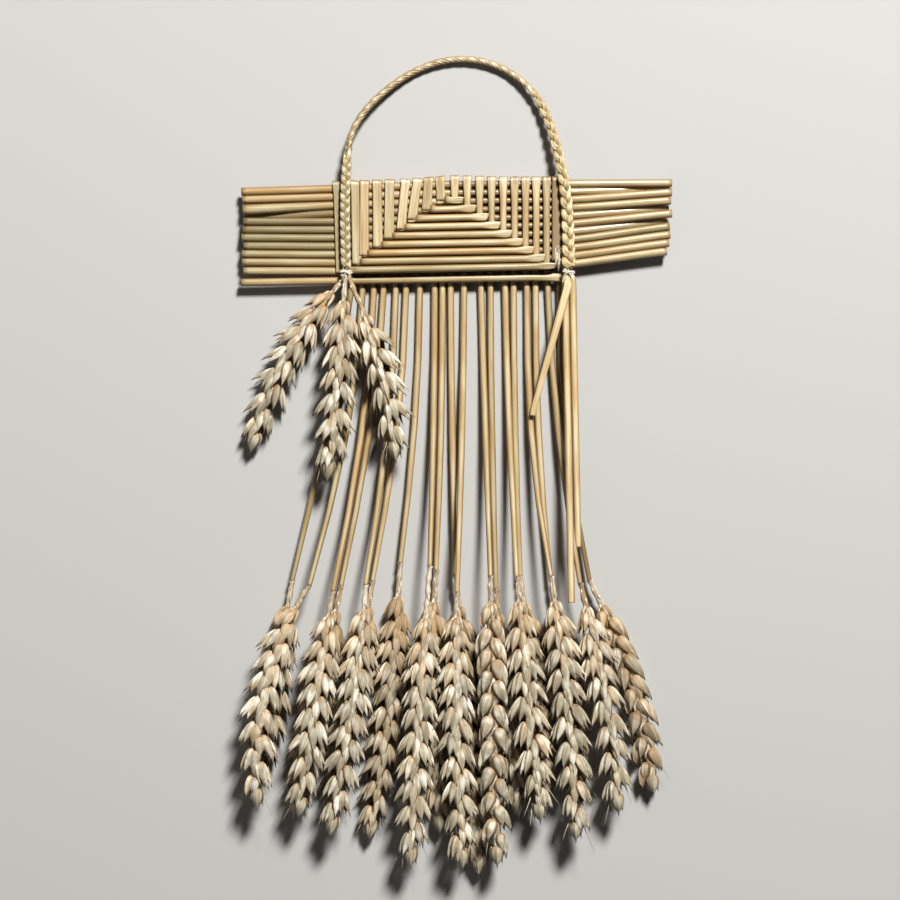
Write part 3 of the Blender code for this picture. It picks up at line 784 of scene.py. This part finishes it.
def right_straw(node, name, tint):
    top_y, bottom_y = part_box(node)[1].y, front_points(node)[:, 1].min()
    line = upright_line(node, top_y, bottom_y + 1 * MM)
    is_last = node.endswith(str(EAR_STRAWS))
    width = LAST_WIDTH if is_last else RIGHT_WIDTH
    heights = np.linspace(top_y - 5 * MM, bottom_y, 12)
    rounded = 0 if is_last else np.clip((top_y - heights) / ROUNDED_BY, 0, 1)
    down = stations(
        [(line(y), y, UPRIGHT_Z - 0.2 * MM) for y in heights],
        width if is_last else RIGHT_FLARE + (width - RIGHT_FLARE) * rounded,
        STRIP if is_last else (0.9 + 0.8 * rounded) * MM,
        1.0 if is_last else 0.9 - 0.8 * rounded,
    )
    rows = [stalk_rows(node), strap_and_edge_rows(node, top_y, line(top_y), width, RIGHT_FLARE), down]
    slant = (0, 0.5 if is_last else 0)
    return straw_tube(name, np.concatenate(rows), sides=14, ends=(False, True), slant=slant, tint=tint)


# %% All the ear straws
for number, tint in enumerate(EAR_SHADES, start=1):
    node = f"ear_straw_{number:02d}"
    make = left_straw if number <= LEFT_STRAWS else right_straw
    finished(make(node, f"straw_eared_{number:02d}", tint), STRAW, node)
print("ear straws:", EAR_STRAWS)

# %% [markdown]
# ## The ears
#
# A wheat ear is a zigzag stalk with a spikelet at each bend, alternately left and right, and
# each spikelet is a fan of pointed husks. The husks are alike, so three of them are modelled:
# a sphere's rings are squeezed into a boat with a keel and a beak. Every ear is then set
# together from copies, each one leaning, sized and tinted a little differently.


# %% Modelling a husk
def husk_shape(name, girths, flatness, keel, beak, hollow):
    """A husk one long from the origin to its tip at +Y, one wide, with its keel up.

    girths are the widths of its rings, from the base to the beak.
    """
    drop_selection()
    rings = len(girths) + 1
    bpy.ops.mesh.primitive_uv_sphere_add(
        segments=8, ring_count=rings, radius=0.5, location=(0, 0.5, 0), rotation=(-math.pi / 2, 0, 0)
    )
    husk = bpy.context.object
    husk.name = name
    bpy.ops.object.transform_apply(location=True, rotation=True, scale=True)
    bpy.ops.object.mode_set(mode="EDIT")
    pick("VERT")
    for ring, girth in enumerate(girths, start=1):
        turn = math.pi * ring / rings
        place = 0.5 - 0.5 * math.cos(turn)
        select_points(husk, lambda co: abs(co.y - place) < 0.01)
        size = girth / math.sin(turn)
        bpy.ops.transform.resize(value=(size, 1, size))
        bpy.ops.transform.translate(value=(0, 0, hollow * (0.25 - (place - 0.5) ** 2)))
    select_points(husk, lambda co: co.z < 0)
    bpy.ops.transform.resize(value=(1, 1, flatness), center_override=(0, 0, 0))
    select_points(husk, lambda co: abs(co.x) < 0.01 and co.z > 0.05)
    bpy.ops.transform.translate(value=(0, 0, keel))
    pick("EDGE")
    bpy.ops.mesh.mark_sharp()
    pick("VERT")
    select_points(husk, lambda co: co.y > 0.99)
    bpy.ops.transform.translate(value=(0, beak, 0.02))
    bpy.ops.mesh.select_all(action="SELECT")
    bpy.ops.mesh.normals_make_consistent(inside=False)
    bpy.ops.object.mode_set(mode="OBJECT")
    husk.data.shade_smooth()
    husk.data.attributes.new("tint", "FLOAT_COLOR", "POINT")
    return husk


HUSKS = {
    "narrow": husk_shape("narrow", (0.42, 0.78, 0.97, 0.92, 0.7, 0.42, 0.16), 0.4, 0.22, 0.26, 0.12),
    "keeled": husk_shape("keeled", (0.5, 0.86, 1.02, 0.98, 0.74, 0.42, 0.15), 0.45, 0.26, 0.2, 0.12),
    "plump": husk_shape("plump", (0.6, 0.94, 1.06, 1.0, 0.76, 0.42, 0.13), 0.7, 0.12, 0.22, 0.1),
}
print("husks:", ", ".join(HUSKS))


# %% Copying a husk
def margins(husk):
    """How near each point of a husk is to its margins: 1 there and below, 0 on the keel."""
    points = points_of(husk.data)
    near = np.zeros(len(points))
    for place in set(np.round(points[:, 1], 2)):
        ring = np.round(points[:, 1], 2) == place
        x, z = points[ring, 0], points[ring, 2]
        edge = z[np.argmax(x)]
        if x.max() > 0.05:
            near[ring] = np.clip(1 - (z - edge) / (0.9 * (z.max() - edge)), 0, 1)
    return near


MARGINS = {kind: margins(husk) for kind, husk in HUSKS.items()}


def husk_copy(kind, base, ahead, outward, size, tint):
    """A copy of a husk with its base in place, pointing ahead, its keel outward."""
    ahead = Vector(ahead).normalized()
    across = ahead.cross(Vector(outward)).normalized()
    axes = tuple(zip((across, ahead, across.cross(ahead)), size))
    place = [[axis[row] * length for axis, length in axes] + [base[row]] for row in range(3)]
    copy = bpy.data.objects.new(kind, HUSKS[kind].data.copy())
    copy.data.transform(Matrix(place + [[0, 0, 0, 1]]))
    shades = np.column_stack([np.tile(tint, (len(MARGINS[kind]), 1)), MARGINS[kind]])
    copy.data.attributes["tint"].data.foreach_set("color", shades.ravel())
    remap(copy.data, 0.998, chance.integers(1, 60))
    link(copy)
    return copy


# %% The axis of an ear
class Axis:
    """A smooth line down an ear, with the ear's own directions at each distance from its neck."""

    def __init__(self, middles, roll):
        y = middles[:, 1]
        x_fit, z_fit = np.polyfit(y, middles[:, 0], 3), np.polyfit(y, middles[:, 2], 1)
        self.points = np.column_stack([np.polyval(x_fit, y), y, np.polyval(z_fit, y)])
        self.reach = lengths_along(self.points)
        self.length = self.reach[-1]
        self.roll = roll

    def at(self, along):
        """The point there and the directions ahead, to the right and up."""
        here, there, before = (
            Vector([np.interp(distance, self.reach, column) for column in self.points.T])
            for distance in (along, min(along + MM, self.length), max(along - MM, 0))
        )
        ahead = (there - before).normalized()
        right = Matrix.Rotation(self.roll, 3, ahead) @ Vector((0, 0, 1)).cross(ahead).normalized()
        return here, ahead, right, ahead.cross(right)


# %% [markdown]
# Seen from its broad side, a spikelet shows husks that fan out to the side, and inner ones that
# overlap down the middle of the ear. Seen from its edge, it shows one plump husk, with the
# beak of another behind it. A spikelet is a short list of husks for each view: where each
# starts to the side and upwards, how far it leans out and lifts, which way its keel faces, and
# its size.

# %% Spikelets
# kind, side, up, ahead (mm), lean and lift (degrees), keel turned from up to the side
# (degrees), width, length and thickness (mm)
BROAD_SPIKELET = (
    ("narrow", 1.7, 0.0, 0.4, 37, 0, 74, 3.8, 10.0, 2.7),
    ("narrow", 1.9, 1.4, 0.0, 28, 3, 50, 4.3, 10.6, 3.0),
    ("keeled", 1.5, 2.4, 0.0, 17, 4, 28, 4.8, 10.2, 3.3),
    ("narrow", 0.2, 3.2, 1.6, 3, 4, 4, 4.4, 10.0, 2.4),
    ("narrow", 1.5, -1.6, 0.4, 27, -3, 125, 4.0, 10.4, 2.9),
    ("keeled", 0.6, -2.9, 0.4, 12, -4, 165, 4.3, 11.0, 2.8),
)
EDGE_SPIKELET = (
    ("plump", 1.3, 2.4, 0.0, 17, 2, 26, 5.9, 9.8, 4.8),
    ("keeled", 1.7, 0.9, 1.4, 22, 0, 60, 4.9, 10.4, 4.2),
    ("plump", 0.3, 1.0, 2.0, 8, 0, 5, 5.4, 9.4, 4.0),
    ("keeled", 1.2, -2.0, 0.4, 18, -3, 150, 5.4, 10.2, 4.2),
)
FULL_SPIKELET = (
    ("narrow", 1.8, 0.0, 0.4, 30, 0, 80, 3.6, 10.4, 2.8),
    ("narrow", 1.7, 1.2, 0.6, 26, 3, 58, 4.0, 10.4, 3.0),
    ("keeled", 1.5, 2.1, 0.0, 19, 4, 40, 5.0, 10.4, 3.8),
    ("plump", 0.4, 2.9, 0.6, 6, 4, 8, 5.2, 9.4, 3.8),
    ("narrow", 1.5, -1.8, 0.4, 25, -3, 125, 3.8, 10.4, 2.9),
    ("keeled", 0.6, -2.9, 0.4, 12, -4, 165, 4.3, 11.0, 2.8),
)
# How much they vary: a spikelet's place (mm) and twist (radians), then for each husk its lean
# and the turn of its keel (degrees), its size, its lightness, and how golden and green it is.
PLACE_VARIES, TWIST_VARIES = 0.25, 0.08
LEAN_VARIES, KEEL_VARIES, SIZE_RANGE = 3.2, 9, (0.92, 1.06)
LIGHT_RANGE, GOLD_VARIES, GREEN_VARIES, MOST_GREEN = (0.76, 1.14), 0.12, 0.14, 0.8


def spikelet(axis, along, side, husks, size, spread, shade):
    """The husks of one spikelet on the left, -1, or on the right, 1."""
    made = []
    here, ahead, right, up = axis.at(along + chance.normal(0, PLACE_VARIES) * MM)
    turn = Matrix.Rotation(chance.normal(0, TWIST_VARIES), 3, ahead)
    right, up = turn @ right, turn @ up
    light, gold, green = shade
    for kind, out, rise, forward, lean, lift, keel, wide, long, thick in husks:
        lean, lift = (
            math.radians(value + chance.normal(0, LEAN_VARIES)) for value in (lean * spread, lift)
        )
        keel = math.radians(keel + chance.normal(0, KEEL_VARIES))
        base = here + size * MM * (right * side * out + up * rise + ahead * forward)
        pointing = ahead * math.cos(lean) + right * side * math.sin(lean) + up * math.sin(lift)
        facing = up * math.cos(keel) + right * side * math.sin(keel)
        grown = size * chance.uniform(*SIZE_RANGE) * MM
        tint = (
            light * chance.uniform(*LIGHT_RANGE),
            float(np.clip(gold + chance.normal(0, GOLD_VARIES), 0, 1)),
            float(np.clip(green + chance.normal(0, GREEN_VARIES), 0, MOST_GREEN)),
        )
        measures = (wide * grown, long * grown, thick * grown)
        made.append(husk_copy(kind, base, pointing, facing, measures, tint))
    return made


# %% Awns
AWN = 0.42 * MM


def awn(start, ahead, length, tint):
    """A long stiff bristle, bent a little."""
    ahead = ahead.normalized()
    aside = ahead.orthogonal().normalized() * chance.uniform(-0.12, 0.12)
    points = [start + ahead * length * share + aside * length * share**2 for share in (0, 0.35, 0.7, 1)]
    girths = [AWN * share for share in (1, 0.8, 0.5, 0.2)]
    return straw_tube("awn", stations(points, girths, girths), sides=4, ring_gap=2 * MM, tint=tint)


# %% Settling an ear
TABLE_Z, HIGHEST_Z = 0.15 * MM, frame_box[1][2] + 0.4 * MM
SOFT = 1.5 * MM


def settle(piece):
    """Presses what would sink into the table, or stand above the rest, back into the ear."""
    points = points_of(piece.data)
    for bound, inward in ((TABLE_Z, 1), (HIGHEST_Z, -1)):
        depth = (points[:, 2] - bound) * inward
        depth = np.where(depth < SOFT, SOFT * np.exp(depth / SOFT - 1), depth)
        points[:, 2] = bound + depth * inward
    piece.data.vertices.foreach_set("co", points.ravel())


# %% Parts of an ear
EAR_THICK = 4.5 * MM  # the frame's ear is thicker than this from its first spikelet on
# The neck swells at its joints: its width in mm at each quarter of the way between them.
NECK_JOINT, NECK_WIDTHS, NECK_SWAY = 5 * MM, (2.75, 1.8, 1.8, 2.25), 0.15 * MM
NECK_TINT, RING_TINT = (0.98, 0.15, 0), (0.3, 0.6, 0)
SCALE_TINT, AWN_TINT = (1.15, 0.1, 0), (1.2, 0.1, 0)
RING_WIDTH = 2.3 * MM
SPIKELET_STEP = 4.9 * MM
LAST_FROM_END, TIP_BEYOND_LAST = 10.5 * MM, 5.4 * MM
# From the first spikelet to the last: their sizes, how far they spread, and how golden they are.
SIZES = ((0, 0.8), (0.06, 0.92), (0.2, 1), (0.75, 0.97), (1, 0.86))
SPREADS = ((0, 0.8), (0.15, 1), (0.8, 1), (1, 0.7))
GOLDS = ((0, 0.4), (0.12, 0.25), (0.4, 0.06), (1, 0.03))
# The last spikelet, and the first one's bracts: how far aside and up a husk sits, its kind, how
# it splays and turns, its size and, for the last spikelet, its tint.
TIP_HUSKS = (
    (0, 1.3, "plump", 0, 0, (5.2, 8.4, 4.4), (0.95, 0.25, 0.45)),
    (-1.3, -0.4, "narrow", -0.1, -0.6, (3.2, 6.6, 2.8), (1.05, 0.1, 0.1)),
    (1.3, -0.4, "narrow", 0.1, 0.6, (3.2, 6.6, 2.8), (1.05, 0.1, 0.1)),
)
BRACTS = (
    (0, 1.9, "narrow", 0, 0, (3.0, 7.5, 2.4)),
    (-0.9, 0.2, "narrow", -0.2, -0.7, (3.0, 6.5, 2.4)),
    (0.9, 0.2, "narrow", 0.2, 0.7, (3.0, 6.5, 2.4)),
)
BRACTS_BEFORE = 1.5 * MM  # the first spikelet
NECK_SCALES, SCALE_SIZE = 3, (1.8, 4.4, 1.0)


def neck_rows(axis, bare):
    """The knobbly stalk between the straw and the first spikelets."""
    quarters = 4 * max(2, round(bare / NECK_JOINT))
    rows = []
    for quarter in range(quarters + 1):
        here, _, right, _ = axis.at(bare * 1.15 * quarter / quarters)
        sway = NECK_SWAY * math.sin(math.pi * quarter / 4 + 0.6)
        width = NECK_WIDTHS[quarter % 4] * MM
        rows.append(stations([here + right * sway], width, width * 0.85))
    return np.concatenate(rows)


def set_husk(axis, along, aside, rise, kind, splay, turned, size, tint):
    """One husk on the axis: how far aside and up it sits and its size, in mm."""
    here, ahead, right, up = axis.at(along)
    base = here + right * aside * MM + up * rise * MM
    return husk_copy(kind, base, ahead + right * splay, up + right * turned, Vector(size) * MM, tint)


# %% Putting an ear together
def ear(name, middles, sizes, husks, roll, light, golden, green, awns, bare_share=1.0):
    """An ear along its axis: the neck, the spikelets left and right, and the last one on top."""
    axis = Axis(middles, math.radians(roll))
    bare = lengths_along(middles)[np.argmax(sizes[:, 2] > EAR_THICK)] * bare_share
    here, ahead, _, _ = axis.at(0)
    ring = stations([here - ahead * 0.25 * MM, here + ahead * 0.35 * MM], RING_WIDTH, RING_WIDTH)
    pieces = [
        straw_tube("neck", neck_rows(axis, bare), sides=8, ring_gap=0.8 * MM, ease=1, tint=NECK_TINT),
        straw_tube("ring", ring, sides=8, ring_gap=0.3 * MM, ease=0, tint=RING_TINT),
    ]
    last = axis.length - LAST_FROM_END
    count = round((last - bare) / SPIKELET_STEP)
    for index in range(count + 1):
        share = index / count
        along = bare + (last - bare) * (share - 0.04 * math.sin(math.pi * share))
        size, spread, gold = (
            float(np.interp(share, *zip(*course))) for course in (SIZES, SPREADS, GOLDS)
        )
        shade = (light, golden + gold, green * (0.3 + share))
        pieces += spikelet(axis, along, 1 if index % 2 else -1, husks, size, spread, shade)
    pieces += [set_husk(axis, last + TIP_BEYOND_LAST, *husk) for husk in TIP_HUSKS]
    for husk in BRACTS:
        tint = (light * chance.uniform(0.95, 1.12), 0.25 + golden, 0)
        pieces.append(set_husk(axis, bare - BRACTS_BEFORE, *husk, tint))
    for index in range(NECK_SCALES):
        share = (index + 0.6) / NECK_SCALES
        side = 1 if index % 2 else -1
        size = Vector(SCALE_SIZE) * (0.6 + 0.5 * share)
        husk = (0.35 * side, 0.5, "narrow", 0.1 * side, 0.6 * side, size, SCALE_TINT)
        pieces.append(set_husk(axis, bare * share * 0.9, *husk))
    for _ in range(awns):
        start, ahead, right, up = axis.at(last - chance.uniform(-2, 12) * MM)
        aside = chance.choice((-1, 1))
        start = start + (ahead * 7.0 + right * aside * 3.0 + up * 0.5) * MM
        pointing = ahead + right * aside * chance.uniform(0.1, 0.5)
        pieces.append(awn(start, pointing, chance.uniform(7, 12) * MM, AWN_TINT))
    whole = joined(name, pieces)
    settle(whole)
    return whole


# %% The ears below the bar
SEEN_OTHERWISE = {2: FULL_SPIKELET, **dict.fromkeys((12, 15, 17, 19), EDGE_SPIKELET)}
LOW_Z = 8 * MM  # an ear whose tip is lower than this lies under the others, in their shade
ROLLS = (12, 0, -8, 5, 6, -10, -14, 4, 0, 9, -6, 0, 8, -4, 0, 6, 0, -9, 0)
for number, roll in enumerate(ROLLS, start=1):
    node = f"ear_straw_{number:02d}"
    _, (middles, sizes) = hanging_part(node)
    husks = SEEN_OTHERWISE.get(number, BROAD_SPIKELET)
    light, golden = (1.18 if husks is FULL_SPIKELET else 1.08), 0.0
    # Such an ear gets painted shade: it is made darker and more golden.
    if middles[-1, 2] < LOW_Z:
        light, golden = 0.9, 0.3
    green = 0.16 if husks is BROAD_SPIKELET else 0.05
    name, awns = f"ear_{number:02d}", 2 + number % 3
    piece = ear(name, middles, sizes, husks, roll, light, golden, green, awns)
    finished(piece, HUSK, node)
print("ears:", len(ROLLS))

# %% [markdown]
# The last straw's leaf tore off where it ends on the bar, and left a tuft of white skin. The
# tuft is a few of the same fine bristles, fanned out from the straw's end.

# %% The torn skin
last_node = f"ear_straw_{EAR_STRAWS}"
last_front = front_points(last_node)
skin_x, skin_y, skin_z = last_front[:, 0].mean(), last_front[:, 1].min(), UPRIGHT_Z + 0.4 * MM
BRISTLES, SKIN_TINT = 28, (1.35, 0, 0)
skin = []
for _ in range(BRISTLES):
    x, y = skin_x + chance.uniform(-0.6, 2.2) * MM, skin_y + chance.uniform(0, 6) * MM
    ahead = Vector((chance.uniform(-0.25, 0.2), -1, 0.02))
    skin.append(awn(Vector((x, y, skin_z)), ahead, chance.uniform(3, 6) * MM, SKIN_TINT))
finished(joined("torn_skin", skin), HUSK, last_node)
print("torn skin:", BRISTLES, "bristles")

# %% [markdown]
# ## The loop
#
# The loop is a flat plait of three pressed straws. Each one goes from edge to edge and over and
# under its neighbours, which is a sine across the plait and one at twice that pace up and down.
# The three are a third of a turn apart. Over the arch the plait is rounded into a cord, where
# the straws wind round its middle, and beyond it the right leg is turned a little about itself.
# The frame's strands give the loop's middle line: two legs read from below, and the arch above
# them read by planes that turn about its middle.

# %% The middle line of the loop
PLAIT_NODES = [f"plait_straw_{name}" for name in ("left", "middle", "right")]
TIE_BOXES = {side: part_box(f"thread_tie_{side}") for side in ("left", "right")}
ARCH_Y = BAR_BOTTOM_Y + 58 * MM
CORD_REST = 1.9 * MM  # the least height of the middle line, so that the plait rests on the table


def on_left(found):
    return found[:, 0] < 0


def on_right(found):
    return found[:, 0] > 0


def loop_middle(normal, at, keep):
    """The middle of all three strands where a plane meets them."""
    corners = [outline(node, normal, at, keep) for node in PLAIT_NODES]
    lows, highs = zip(*filter(None, corners))
    return (np.min(lows, 0) + np.max(highs, 0)) / 2


def loop_line():
    heights = np.arange(TIE_BOXES["left"][1].y + 1 * MM, ARCH_Y, 1.5 * MM)
    points = [loop_middle((0, 1, 0), y, on_left) for y in heights]
    for turn in np.radians(np.arange(177, 0, -3)):
        heading, normal = (math.cos(turn), math.sin(turn)), (-math.sin(turn), math.cos(turn), 0)

        def ahead(found, heading=heading):
            return found[:, 0] * heading[0] + (found[:, 1] - ARCH_Y) * heading[1] > 5 * MM

        points.append(loop_middle(normal, ARCH_Y * normal[1], ahead))
    points += [loop_middle((0, 1, 0), y, on_right) for y in heights[::-1]]
    line = eased(close_rows(np.array(points), 0.5 * MM), 10)
    line[:, 2] = np.maximum(line[:, 2], CORD_REST)
    return line


LOOP = loop_line()
print(f"the plait is {lengths_along(LOOP)[-1] / MM:.0f} mm long")

# %% Weaving the strands
# Along the loop: the share of its length, how far the plait is turned about itself in degrees,
# how far it is rounded into a cord, then its repeat, how far a strand goes aside and up, and the
# width and thickness of a strand, in mm. Where the lift is negative, over and under change
# places, so the arrowheads of the plait point the other way along it.
PLAIT_COURSE = np.array((
    (0.00, 0, 0, 11.4, 1.20, 0.55, 2.45, 0.62),
    (0.19, 0, 0, 11.4, 1.15, 0.55, 2.40, 0.62),
    (0.235, 0, 1, 13.5, 0.95, 0.60, 2.05, 0.95),
    (0.64, -16, 1, 14.0, 0.90, -0.60, 1.95, 0.90),
    (0.68, -16, 0, 14.5, 0.98, -0.60, 2.15, 0.65),
    (0.80, -18, 0, 15.0, 1.20, -0.85, 2.60, 0.70),
    (1.00, -18, 0, 15.0, 1.55, -1.10, 3.40, 0.80),
))
CORD_HEIGHT = 0.95  # mm, how far a strand rises above the cord's middle
CROSSING = 1.5  # how fast a strand crosses from edge to edge
FROM_PLAIT, TO_PLAIT = 0.21, 0.66  # where along the loop it turns into a cord, and back
EDGE_NARROWING = 0.22  # how much narrower a strand is where it turns back at the plait's edge


def woven(line, phase):
    """A strand's stations along the loop, phase ahead of the middle one."""
    reach = lengths_along(line)
    ahead = np.gradient(line, axis=0)
    ahead /= np.linalg.norm(ahead, axis=1)[:, None]
    inward = np.cross(ahead, (0, 0, 1))
    inward /= np.linalg.norm(inward, axis=1)[:, None]
    upward = np.cross(inward, ahead)
    share = reach / reach[-1]
    lean, cord, repeat, side, lift, width, thick = (
        np.interp(share, PLAIT_COURSE[:, 0], column) for column in PLAIT_COURSE[:, 1:].T
    )
    turn = 2 * math.pi * (np.cumsum(np.gradient(reach) / (repeat * MM)) + phase)
    lean = np.radians(lean)
    zigzag = np.tanh(CROSSING * np.sin(turn)) / math.tanh(CROSSING)
    across, over = side * zigzag, lift * np.sin(2 * turn)
    flat_aside = across * np.cos(lean) - over * np.sin(lean)
    flat_up = over * np.cos(lean) + across * np.sin(lean)
    aside = flat_aside * (1 - cord) - side * np.cos(turn) * cord
    raised = flat_up * (1 - cord) + CORD_HEIGHT * np.sin(turn) * cord
    points = line + (inward * aside[:, None] + upward * raised[:, None]) * MM

    # A strand's broad side faces away from the middle of a cord, or up from a plait. Half a turn
    # leaves a strand as it is, so each leg takes the half turn nearest to the cord's beside it.
    facing = turn - math.pi / 2
    turns = np.interp((FROM_PLAIT, TO_PLAIT), share, facing) / math.pi
    before, after = np.round(turns) * math.pi
    upright = np.where(share < (FROM_PLAIT + TO_PLAIT) / 2, before, after) - lean
    tilt = facing * cord + upright * (1 - cord)
    width = width * (1.0 - EDGE_NARROWING * np.abs(zigzag) ** 3 * (1 - cord))
    return stations(points, width * MM, thick * MM, 0.9, tilt)


# %% The ends of the strands
TIED_STEP, TIED_WIDTH, TIED_THICK = 1.2 * MM, 1.5 * MM, 1.2 * MM


def tied_rows(side, place):
    """Through a tie: up through the left one, or down through the right one."""
    low, high = TIE_BOXES[side]
    centre = (low + high) / 2
    way = 1 if side == "left" else -1
    points = [(centre.x + way * place * TIED_STEP, y, centre.z) for y in (low.y, high.y)[::way]]
    return stations(points, TIED_WIDTH, TIED_THICK, 0.5)


def tail_rows(node):
    """The cut end below the right tie, from the tie down."""
    points = node_edges(node)[0]
    top, bottom = TIE_BOXES["right"][0].y - 1.5 * MM, points[on_right(points), 1].min()
    middles, sizes = middle_line(node, 1, np.linspace(top, bottom + INSIDE, 40), on_right)
    middles[-1, 1] = bottom
    is_flat = sizes[len(sizes) // 2, 2] < 2 * MM
    widths = (2.3, 3.5) if is_flat else (2.9, 3.1)  # at the cut and at the tie
    width = np.interp(middles[:, 1], (bottom, top), widths) * MM
    return stations(middles, width, 1.0 * MM if is_flat else width * 0.95, 0.8 if is_flat else 0.0)


# %% The three straws and their ears
# For each one: its phase, its place in the ties, its shades from the left tie to the cut end, and its
# ear's roll in degrees and the share of its neck that is bare. The shades grow paler towards the right
# leg and the cut ends: partly the straws' own olive and cream, partly painted light that makes the
# right leg paler.
STRANDS = {
    "left": (2 / 3, -1, ((0.84, 0, 0.24), (1.0, 0, 0.08), (1.34, 0, 0), (1.34, 0, 0)), 6, 0.5),
    "middle": (0.0, 0, ((0.95, 0, 0.14), (1.04, 0, 0.05), (1.4, 0, 0), (1.4, 0, 0)), -4, 0.85),
    "right": (1 / 3, 1, ((0.78, 0, 0.28), (0.95, 0, 0.12), (1.25, 0, 0), (1.25, 0, 0)), 10, 1.0),
}
for name, (phase, place, shades, roll, bare_share) in STRANDS.items():
    node = f"plait_straw_{name}"
    places = np.arange(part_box(node)[0].y + 1 * MM, TIE_BOXES["left"][0].y - 1 * MM, 0.5 * MM)
    middles, sizes = middle_line(node, 1, places, on_left)
    rows = np.concatenate([
        stations(middles[-1:], 2.0 * MM, 1.8 * MM, 0.2), tied_rows("left", place), woven(LOOP, phase),
        tied_rows("right", place), tail_rows(node),
    ])
    straw = straw_tube(
        f"plaited_{name}", rows, sides=10, ring_gap=0.55 * MM, ease=1, ends=(False, True), tint=shades,
        twist="Z_UP",
    )
    finished(straw, STRAW, node)
    piece = ear(
        f"tassel_ear_{name}", middles[::-1], sizes[::-1], BROAD_SPIKELET, roll,
        light=1.06, golden=0.0, green=0.1, awns=3, bare_share=bare_share,
    )
    finished(piece, HUSK, node)
print("plaited straws:", ", ".join(STRANDS))

# %% [markdown]
# ## The thread ties
#
# White thread is wound round the three straws at each foot of the loop and knotted. It is wound
# here too: a thin tube follows a flat spiral, and ends in two short loose ends.

# %% Thread finish
PLY_GROOVE_SHADE, PLY_LIGHT = colour(0.52, 0.47, 0.38), colour(0.86, 0.83, 0.76)
PLIES_ALONG = 9000.0


def thread_finish():
    """Off-white, with painted shade in the slanting grooves between its two twisted plies."""
    finish, tree, shader = blank_finish("cotton thread")
    share, along = own_map(tree)
    turned = sums(tree, "MULTIPLY", share, 4 * math.pi)
    ply = sums(tree, "SINE", sums(tree, "ADD", turned, sums(tree, "MULTIPLY", along, PLIES_ALONG)))
    fill(tree, shader, {
        "Base Color": mixed(tree, ramp(tree, ply, -1, 1), PLY_GROOVE_SHADE, PLY_LIGHT),
        "Normal": bump(tree, ply, 0.05 * MM),
        "Roughness": 0.85,
    })
    return finish


THREAD = thread_finish()
THREAD_SIZE = 0.44 * MM
TURNS, STEPS = 5, 24  # turns of the winding, and points in each


# %% Winding the thread
def thread(name, points, ease):
    rows = stations(points, THREAD_SIZE, THREAD_SIZE)
    return straw_tube(name, rows, sides=6, ring_gap=0.3 * MM, ease=ease)


def thread_tie(side):
    low, high = TIE_BOXES[side]
    centre, half = (low + high) / 2, (high - low) / 2
    wide, tall = half.x - 0.4 * MM, half.z - 0.25 * MM
    points = []
    for step in range(STEPS * TURNS + 1):
        turn = 2 * math.pi * TURNS * (step / (STEPS * TURNS))
        climb = 0.75 * math.sin(0.9 * turn) + 0.25 * math.sin(2.3 * turn + 1)
        x, z = centre.x + wide * math.cos(turn), centre.z + tall * math.sin(turn)
        points.append((x, centre.y + (half.y - THREAD_SIZE / 2) * climb, z))
    cross = 1 if side == "left" else -1
    top = centre.z + tall

    def over(across, along, rise, below=0):
        """A place over the tie in mm, from its middle or from its lower end."""
        return (centre.x + cross * across * MM, centre.y - half.y * below + along * MM, top + rise * MM)

    points.append((centre.x + wide * 0.8, centre.y + half.y * 0.4, top - 0.1 * MM))
    points += [over(0.3, -0.2, 0.35), over(-0.9, -0.5, 0.2, 1), over(-1.6, -3.0, -0.5, 1)]
    loose = [
        (centre.x - cross * wide * 0.9, centre.y - 0.3 * MM, top - 0.4 * MM),
        over(-0.2, 0.2, 0.55), over(1.0, -0.6, 0.3), over(2.1, -1.2, -0.4, 1), over(2.6, -3.6, -1.0, 1),
    ]
    return joined(f"thread_{side}", [thread("winding", points, 0), thread("loose end", loose, 1)])


for side in TIE_BOXES:
    finished(thread_tie(side), THREAD, f"thread_tie_{side}")
print("thread ties:", len(TIE_BOXES))

# %% Put the husk models away
for husk in HUSKS.values():
    bpy.data.objects.remove(husk)
print("pieces:", len(made_pieces), "faces:", sum(len(piece.data.polygons) for piece in made_pieces))
